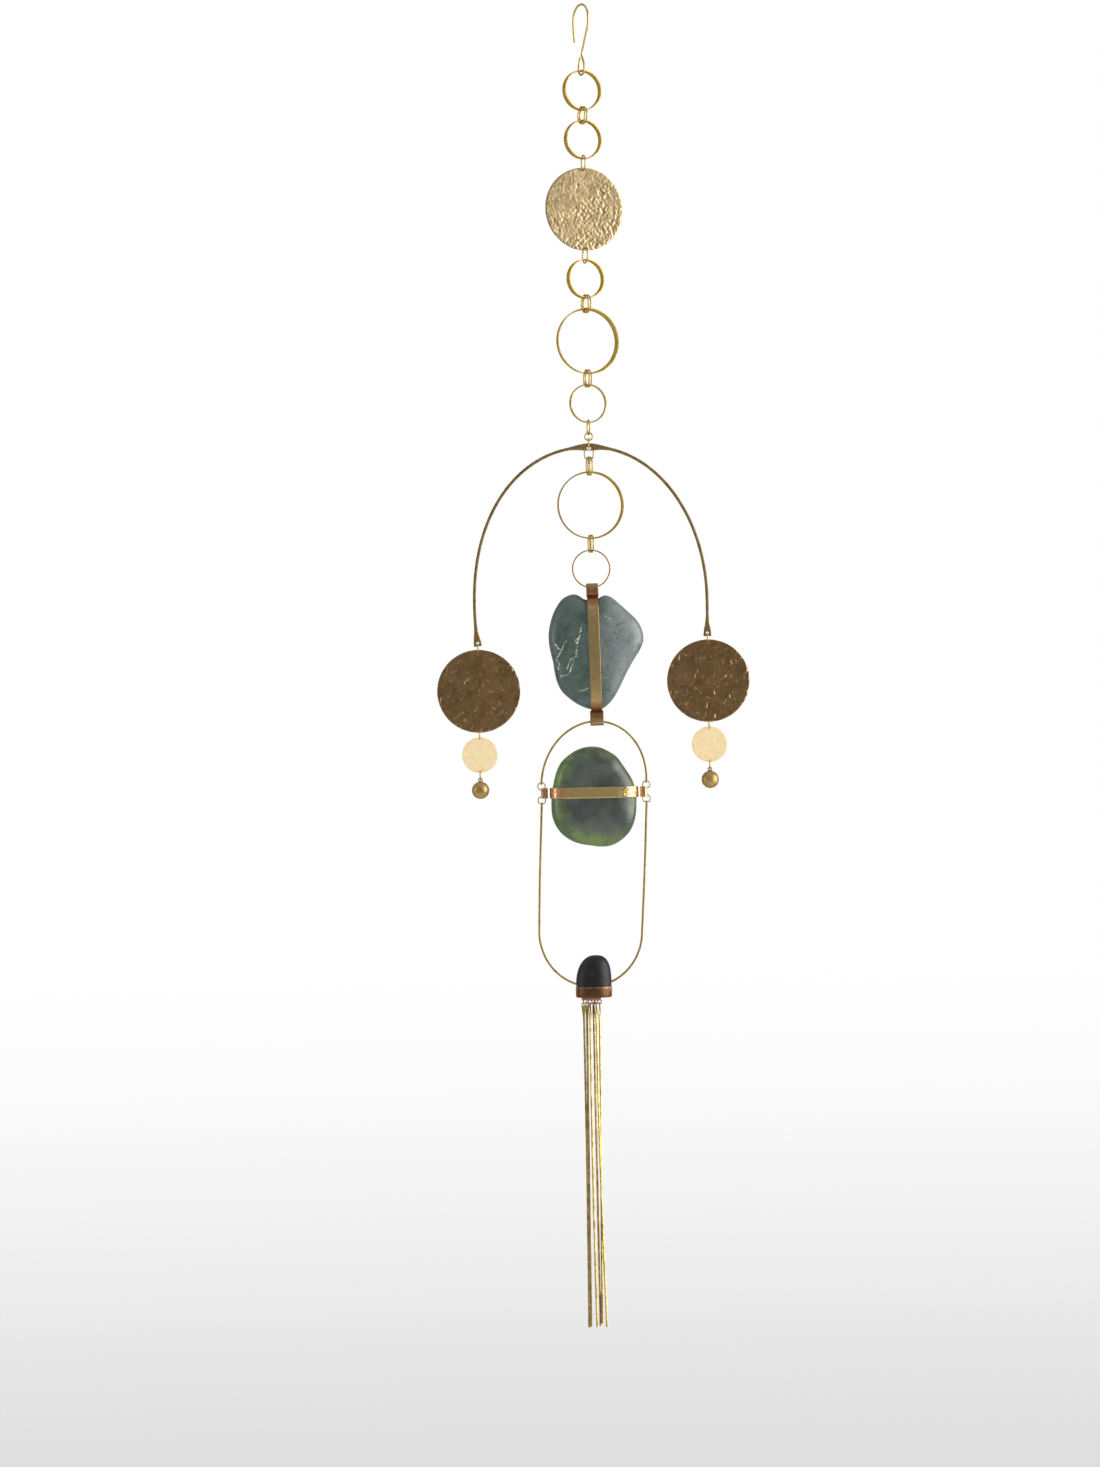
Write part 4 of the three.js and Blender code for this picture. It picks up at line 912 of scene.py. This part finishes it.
# ---------- oval frame ----------
FRAME_X = -1.15  # the oval frame hangs a little to the left
HALF_WIDTH = 39.8
DRILL_RADIUS = 1.1
MIDDLE_OUTLINE = [
    (-4, 38.4), (4, 38), (11.3, 34.9), (17.6, 30.4), (22, 24.4), (29.1, 12.9), (31.2, 6), (32.1, -0.5),
    (32, -6.8), (31.3, -14), (29.3, -21.3), (25.3, -28.1), (19.3, -33.4), (12, -36.9), (4, -37.6),
    (-3.8, -36.5), (-11.4, -35.1), (-18.6, -32.2), (-24.8, -27.6), (-29.4, -21.3), (-32, -14.2),
    (-32.6, -6.9), (-32.4, 0), (-31.5, 7), (-30.1, 13.4), (-28.1, 20.4), (-24.4, 27.1), (-18.7, 32.4),
    (-11.8, 36.4),
]
LOWER = {"straight": 98.6, "half_width": 39.0, "bowl": 41.5, "lean": 4.6}


def hammered_strip(path, width, sheet, seed):
    struck = rough_field(path, 5.0, seed) + 0.5 * rough_field(path, 2.4, seed + 2)
    width, sheet = width * (1 + 0.10 * struck), sheet * (1 - 0.06 * struck)
    return bar(path, (0, 1, 0), width, sheet, 14, 3.2, twist=0.08 * rough_field(path, 9, seed + 5))


def lower_path():
    """The lower frame's middle line, from its left top round its bowl to its right top."""
    straight, half_width, bowl, lean = LOWER.values()
    share = np.linspace(0, 1, 30)[:-1]

    def side(sign):
        x = sign * (HALF_WIDTH + (half_width - HALF_WIDTH) * share ** 3) - lean * share
        return columns(x, 0, -straight * share)

    turn = math.pi * (1 + np.arange(91) / 90)
    arc = columns(half_width * np.cos(turn) - lean, 0, -straight + bowl * np.sin(turn))
    return np.concatenate([side(-1), arc, side(1)[::-1]])


def build_oval_frame():
    base = low("hoop")[2] + 1.5
    turn = math.pi * (1 - np.arange(91) / 90)
    height = 45.9 * np.sin(turn)
    arc = columns(HALF_WIDTH * np.cos(turn) + height * math.tan(math.radians(3.3)), 0, height)
    left, right = [(sign * HALF_WIDTH, 0, -1.45) for sign in (-1, 1)]
    path = even_path([left, *arc, right], 0.7)
    vertices, faces = hammered_strip(path, 1.55, 2.75, 3)
    hoop = add_piece("hoop", vertices + (FRAME_X, 0, base), faces, HOOP_METAL, "bright_brass")
    ends = (FRAME_X - HALF_WIDTH, FRAME_X + HALF_WIDTH)
    cut_with(hoop, [drill((x, 0, base + 0.25), DRILL_RADIUS, 4, "x") for x in ends])

    top = high("lower_frame")[2]
    vertices, faces = hammered_strip(even_path(lower_path(), 0.8), 1.62, 2.5, 7)
    lower = add_piece("lower_frame", vertices + (FRAME_X, 0, top), faces, HOOP_METAL, "bright_brass")
    cut_with(lower, [drill((x, 0, top - 1.4), DRILL_RADIUS, 4, "x") for x in ends])

    for index, place in enumerate(("upper_left", "upper_right", "lower_left", "lower_right")):
        node = f"side_link_{place}"
        ring = wire_ring(middle(node), 6.54, 0.9, 0, joint=0.3 + 0.2 * index, sides=12, around=48)
        add_piece(node, *ring, BRIGHT, "bright_brass")


def build_middle_stone():
    half_depth, roundness, sheet, gap, tall, offset = 13.5, 2.3, 0.8, 0.62, 8.1, 3.6
    radius_at = outline_radius(MIDDLE_OUTLINE)
    band_middle = middle("middle_stone_band")[2]
    vertices, faces, shares = pebble(radius_at, half_depth, roundness, 240, 90, 0.35, 6)
    corner = np.clip(-0.012 * (vertices[:, 0] + 0.5 * vertices[:, 2]) + 0.02, -0.12, 0.22)
    tone = np.clip(shares ** 2.2 + corner, 0, 1)
    place = (FRAME_X, 0, band_middle - offset)
    add_piece("middle_stone", vertices + place, faces, green_stone_material(), "green_stone", tone=tone)

    depth_at = depth_under(radius_at, half_depth, roundness, tall, False, offset)
    reach = 32.92
    outline = strap_outline(depth_at, -reach, reach, gap, 30)
    body, body_faces = ribbon(outline, sheet - 0.2, tall, 0.02, 5, 0.16)
    body = body[:, [2, 1, 0]]
    parts = [(body, body_faces)]
    for side in (-1, 1):
        outer_end = side * (HALF_WIDTH + 0.45)
        loop_middle = outer_end - side * 2.6
        outline = oblong(5.0 / 2 - sheet, 5.2 / 2 - sheet, loop_middle)
        loop, loop_faces = ribbon(outline, sheet, tall, 0.02, 8 + side, 0.05)
        parts.append((loop[:, [2, 1, 0]], loop_faces))
        start, end = side * (reach + 0.3), loop_middle - side * 2.1
        neck, neck_faces = block((0, 0, 0), (tall - 0.3, 1.9, abs(end - start)))
        parts.append((neck[:, [2, 1, 0]] + ((start + end) / 2, 0, 0), neck_faces))
        for z in (-2.5, 0, 2.5):
            parts.append(bead((side * (reach + 0.5), -1.3, z), 0.5, 0.8))
    vertices, faces = merge(*parts)
    x = vertices[:, 0]
    tone = smooth(x, -30, -12) - 0.8 * smooth(x, 33.0, 34.2) + 0.9 * smooth(x, 36, 37)
    vertices += (FRAME_X, 0, band_middle)
    band = add_piece("middle_stone_band", vertices, faces, BAND_METAL, "copper_band", tone=tone)
    drills = []
    for side in (-1, 1):
        for end in (-1, 1):
            centre = (FRAME_X + side * (HALF_WIDTH + 0.05), 0, band_middle + end * (tall / 2 - 1.65))
            drills.append(drill(centre, DRILL_RADIUS, 2.6, "x"))
    cut_with(band, drills)


# ---------- base stone, cap and tassel ----------
BASE_X = FRAME_X - LOWER["lean"] + 1.6


def slice_ring(half_x, half_y, x, z, around=96):
    turn = full_turn(around)
    return columns(x + half_x * np.cos(turn), half_y * np.sin(turn), z)


def build_base():
    rim = high("base_cap")[2]
    half_width, half_depth, dome, peak = 13.5, 10.5, 23.2, 1.9
    slices = []
    for i in range(41):
        down = 0.0008 if i == 0 else 1 - math.cos(math.pi / 2 * i / 40)
        share = (1 - (1 - down) ** 2.5) ** 0.4
        x, z = peak * (1 - down) ** 2, 0.4 + dome * (1 - down)
        slices.append(slice_ring(half_width * share, half_depth * share, x, z))
    for z in (0.35, -6.6):  # the plug that sits in the cup
        slices.append(slice_ring(half_width - 1.2, half_depth - 1.2, 0, z))
    vertices, faces = skin(np.array(slices))
    vertices[:, 1] += 0.12 * rough_field(vertices, 9, 2)
    stone = add_piece("base_stone", vertices + (BASE_X, 0, rim), faces, black_stone_material(), "black_stone")
    path = even_path(lower_path(), 1.2)
    path = path[path[:, 2] < -(LOWER["straight"] + LOWER["bowl"] * 0.7)]
    tunnel = bar(path, (0, 1, 0), 1.7 + 0.74, 2.6 + 0.74, 12, 5.0)
    cut_with(stone, [(tunnel[0] + (FRAME_X, 0, high("lower_frame")[2]), tunnel[1])])

    outer_x, outer_y, sheet, height = half_width + 0.3, half_depth + 0.3, 0.9, 8.3
    profile = [  # inset from the outside, height
        (2.2, -height), (0.9, 0.02 - height), (0.25, 0.35 - height), (0.02, 1.0 - height), (0, -height / 2),
        (0.02, -0.7), (0.2, -0.15), (0.45, 0), (0.7, -0.15), (sheet, -0.6), (sheet, -height / 2),
        (sheet, 1.0 - height), (3.0, 1.0 - height),
    ]
    rings = np.array([slice_ring(outer_x - inset, outer_y - inset, 0, z, 120) for inset, z in profile])
    wobble = rough_field(rings.reshape(-1, 3), 6, 5).reshape(rings.shape[:2])
    outside = np.array([inset < 0.5 for inset, _ in profile])[:, None]
    rings[:, :, :2] *= (1 - 0.006 * np.abs(wobble) * outside)[..., None]
    cup = skin(rings)
    tab = block((-2.1, 0, -height - 1.0), (14.6, 2.5, 2.7))
    eye_middle = -height - 2.3 - 1.5 + 0.15
    eyes = []
    for wire in TASSEL:
        place = (wire["across"][0], wire["lane"][0], eye_middle)
        eyes.append(wire_ring(place, 3.8, 0.8, 90 + wire["turn"], sides=10, around=36))
    vertices, faces = merge(cup, tab, *eyes)
    tone = np.zeros(len(vertices))
    on_cup = np.arange(len(vertices)) < len(cup[0])
    z = vertices[:, 2]
    # the cap goes from dark brown to tan towards both ends of the oval, along the rim and along the foot
    side = smooth(np.abs(vertices[:, 0]), outer_x - 2.2, outer_x - 0.3)
    lighter_rim = 1 - smooth(np.abs(z + 0.3), 0.2, 0.9)
    lighter_foot = 1 - smooth(np.abs(z + height), 0.2, 0.9)
    tone[on_cup] = np.clip(0.75 * side + 0.55 * lighter_rim + 0.45 * lighter_foot, 0, 1)[on_cup]
    tone[~on_cup] = 0.85
    add_piece("base_cap", vertices + (BASE_X, 0, rim), faces, CAP_METAL, "cap", tone=tone)

    for number, wire in enumerate(TASSEL, 1):
        build_tassel_wire(number, rim + eye_middle - 1.5 - 0.15, **wire)


TASSEL = [
    {"across": (-8.1, -7.8, -8.6), "lane": (-0.9, -1.7), "turn": 0, "lift": 0},
    {"across": (-5.5, -6.4, -7.1), "lane": (0.9, 1.5), "turn": 0, "lift": 0},
    {"across": (-3.1, -3.4, -2.4), "lane": (-0.9, -1.9), "turn": 72, "lift": 0},
    {"across": (-0.5, -0.3, 0.1), "lane": (0.9, 2.4), "turn": 60, "lift": 0.3},
    {"across": (1.5, 2.4, 5.1), "lane": (-0.9, -1.2), "turn": 78, "lift": 0},
    {"across": (4.1, 3.0, 1.3), "lane": (0.9, 1.0), "turn": 78, "lift": 2.3},
]


def build_tassel_wire(number, hole_height, across, lane, turn, lift):
    length = 246.5
    top, half_way, foot = across
    down = np.linspace(0, 1, 380)
    run = length * down
    bow = 4 * down * (1 - down) * (half_way - (top + foot) / 2)
    spread = (lane[1] - lane[0]) * np.minimum(1, down * 2.5)
    path = columns((foot - top) * down + bow, spread, 1.55 - (length - lift) * down)
    path[:, 0] += 0.10 * rough_field(path, 14, number) * smooth(run, 4, 20)
    taper = smooth(run, 2, 14.5)
    struck = rough_field(path, 4.2, number + 20) + 0.5 * rough_field(path, 2.1, number + 30)
    width = (3.3 + (1.65 - 3.3) * taper) * (1 + 0.13 * struck * taper)
    width *= 0.45 + 0.55 * np.sqrt(smooth(run, -0.6, 1.4))
    sheet = (0.7 + (1.25 - 0.7) * taper) * (1 - 0.10 * struck * taper)
    facing = math.radians(turn) * (1 - taper * 0.6)
    normal = columns(-np.sin(facing), np.cos(facing), 0)
    twist = 0.12 * taper * rough_field(path, 9, number + 40)
    vertices, faces = bar(path, normal, width, sheet, 12, 3.0, twist=twist)
    hole = (BASE_X + top, lane[0], hole_height)
    piece = add_piece(f"tassel_wire_{number}", vertices + hole, faces, FORGED, "bright_brass")
    bit, bit_faces = drill((0, 0, 0), 0.9, 4, "y", 20)
    cut_with(piece, [(bit @ yaw_matrix(turn).T + hole, bit_faces)])


# ---------- studio ----------
def build_floor():
    mesh = bpy.data.meshes.new("floor")
    work = bmesh.new()
    bmesh.ops.create_circle(work, cap_ends=True, segments=96, radius=6.0)
    work.to_mesh(mesh)
    work.free()
    floor = add_object("floor", mesh)
    floor.location = (0, 0, -2.7)
    n = Nodes("pale_floor")
    colour = n.mix(n.ramp(n.noise(900, 3), 0.3, 0.7), (0.80, 0.80, 0.80), (0.83, 0.83, 0.83))
    n.set("Base Color", colour)
    n.set("Roughness", 0.9)
    mesh.materials.append(n.material)


def build_world():
    """A pale studio: white to look at above eye level, darkening below it as painted shade; bright above and
    behind the piece, dimmer in front.
    """
    world = bpy.data.worlds.new("studio")
    bpy.context.scene.world = world
    world.use_nodes = True
    world.node_tree.nodes.clear()
    w = Tree(world.node_tree)
    split = w.add("ShaderNodeSeparateXYZ")
    w.feed(split.inputs["Vector"], w.add("ShaderNodeTexCoord").outputs["Generated"])
    lit = w.add("ShaderNodeMath", operation="MAXIMUM")
    w.feed(lit.inputs[0], w.ramp(split.outputs["Y"], -0.95, 0.2, 0.30, 0.42))
    w.feed(lit.inputs[1], w.ramp(split.outputs["Z"], 0.25, 0.8, 0.0, 0.6))
    choose = w.add("ShaderNodeMix", data_type="FLOAT")
    w.feed(choose.inputs["Factor"], w.add("ShaderNodeLightPath").outputs["Is Camera Ray"])
    w.feed(choose.inputs["A"], lit.outputs[0])
    # painted shade: the background the camera sees darkens from white to 0.7 towards the bottom
    w.feed(choose.inputs["B"], w.ramp(split.outputs["Z"], -0.215, -0.05, 0.70, 1.0))
    background = w.add("ShaderNodeBackground")
    w.feed(background.inputs["Color"], (1, 1, 1))
    w.feed(background.inputs["Strength"], choose.outputs["Result"])
    w.feed(w.add("ShaderNodeOutputWorld").inputs["Surface"], background.outputs["Background"])


def add_light(name, azimuth, height, distance, width, tall, power, glossy=True):
    light = bpy.data.lights.new(name, "AREA")
    light.shape = "RECTANGLE"
    light.size, light.size_y, light.energy = width, tall, power
    lamp = add_object(name, light)
    turn = math.radians(azimuth)
    lamp.location = (distance * math.sin(turn), -distance * math.cos(turn), height)
    aim = Vector((0, 0, -0.5)) - Vector(lamp.location)
    lamp.rotation_euler = aim.to_track_quat("-Z", "Y").to_euler()
    lamp.visible_camera = False
    lamp.visible_glossy = glossy


def build_camera():
    camera = bpy.data.cameras.new("camera")
    camera.lens = 97.0
    camera.clip_end = 100
    eye = add_object("camera", camera)
    eye.location = (-0.0337, -3.0, -0.5519)
    eye.rotation_euler = (math.radians(90), math.radians(1.12), 0)
    bpy.context.scene.camera = eye


build_hook()
build_chain()
build_chain_disc()
build_arch()
build_pendant("left", 63.0, 1)
build_pendant("right", 62.6, 2)
build_upper_stone()
build_oval_frame()
build_middle_stone()
build_base()
build_floor()
build_world()
add_light("softbox", 77, -0.2, 2.2, 2.0, 2.4, 52)
add_light("left_strip", -75, -0.3, 2.6, 0.5, 2.4, 9)
add_light("front_fill", -15, -0.4, 4.5, 3.0, 3.0, 100, glossy=False)
build_camera()
bpy.context.scene.view_settings.view_transform = "Standard"
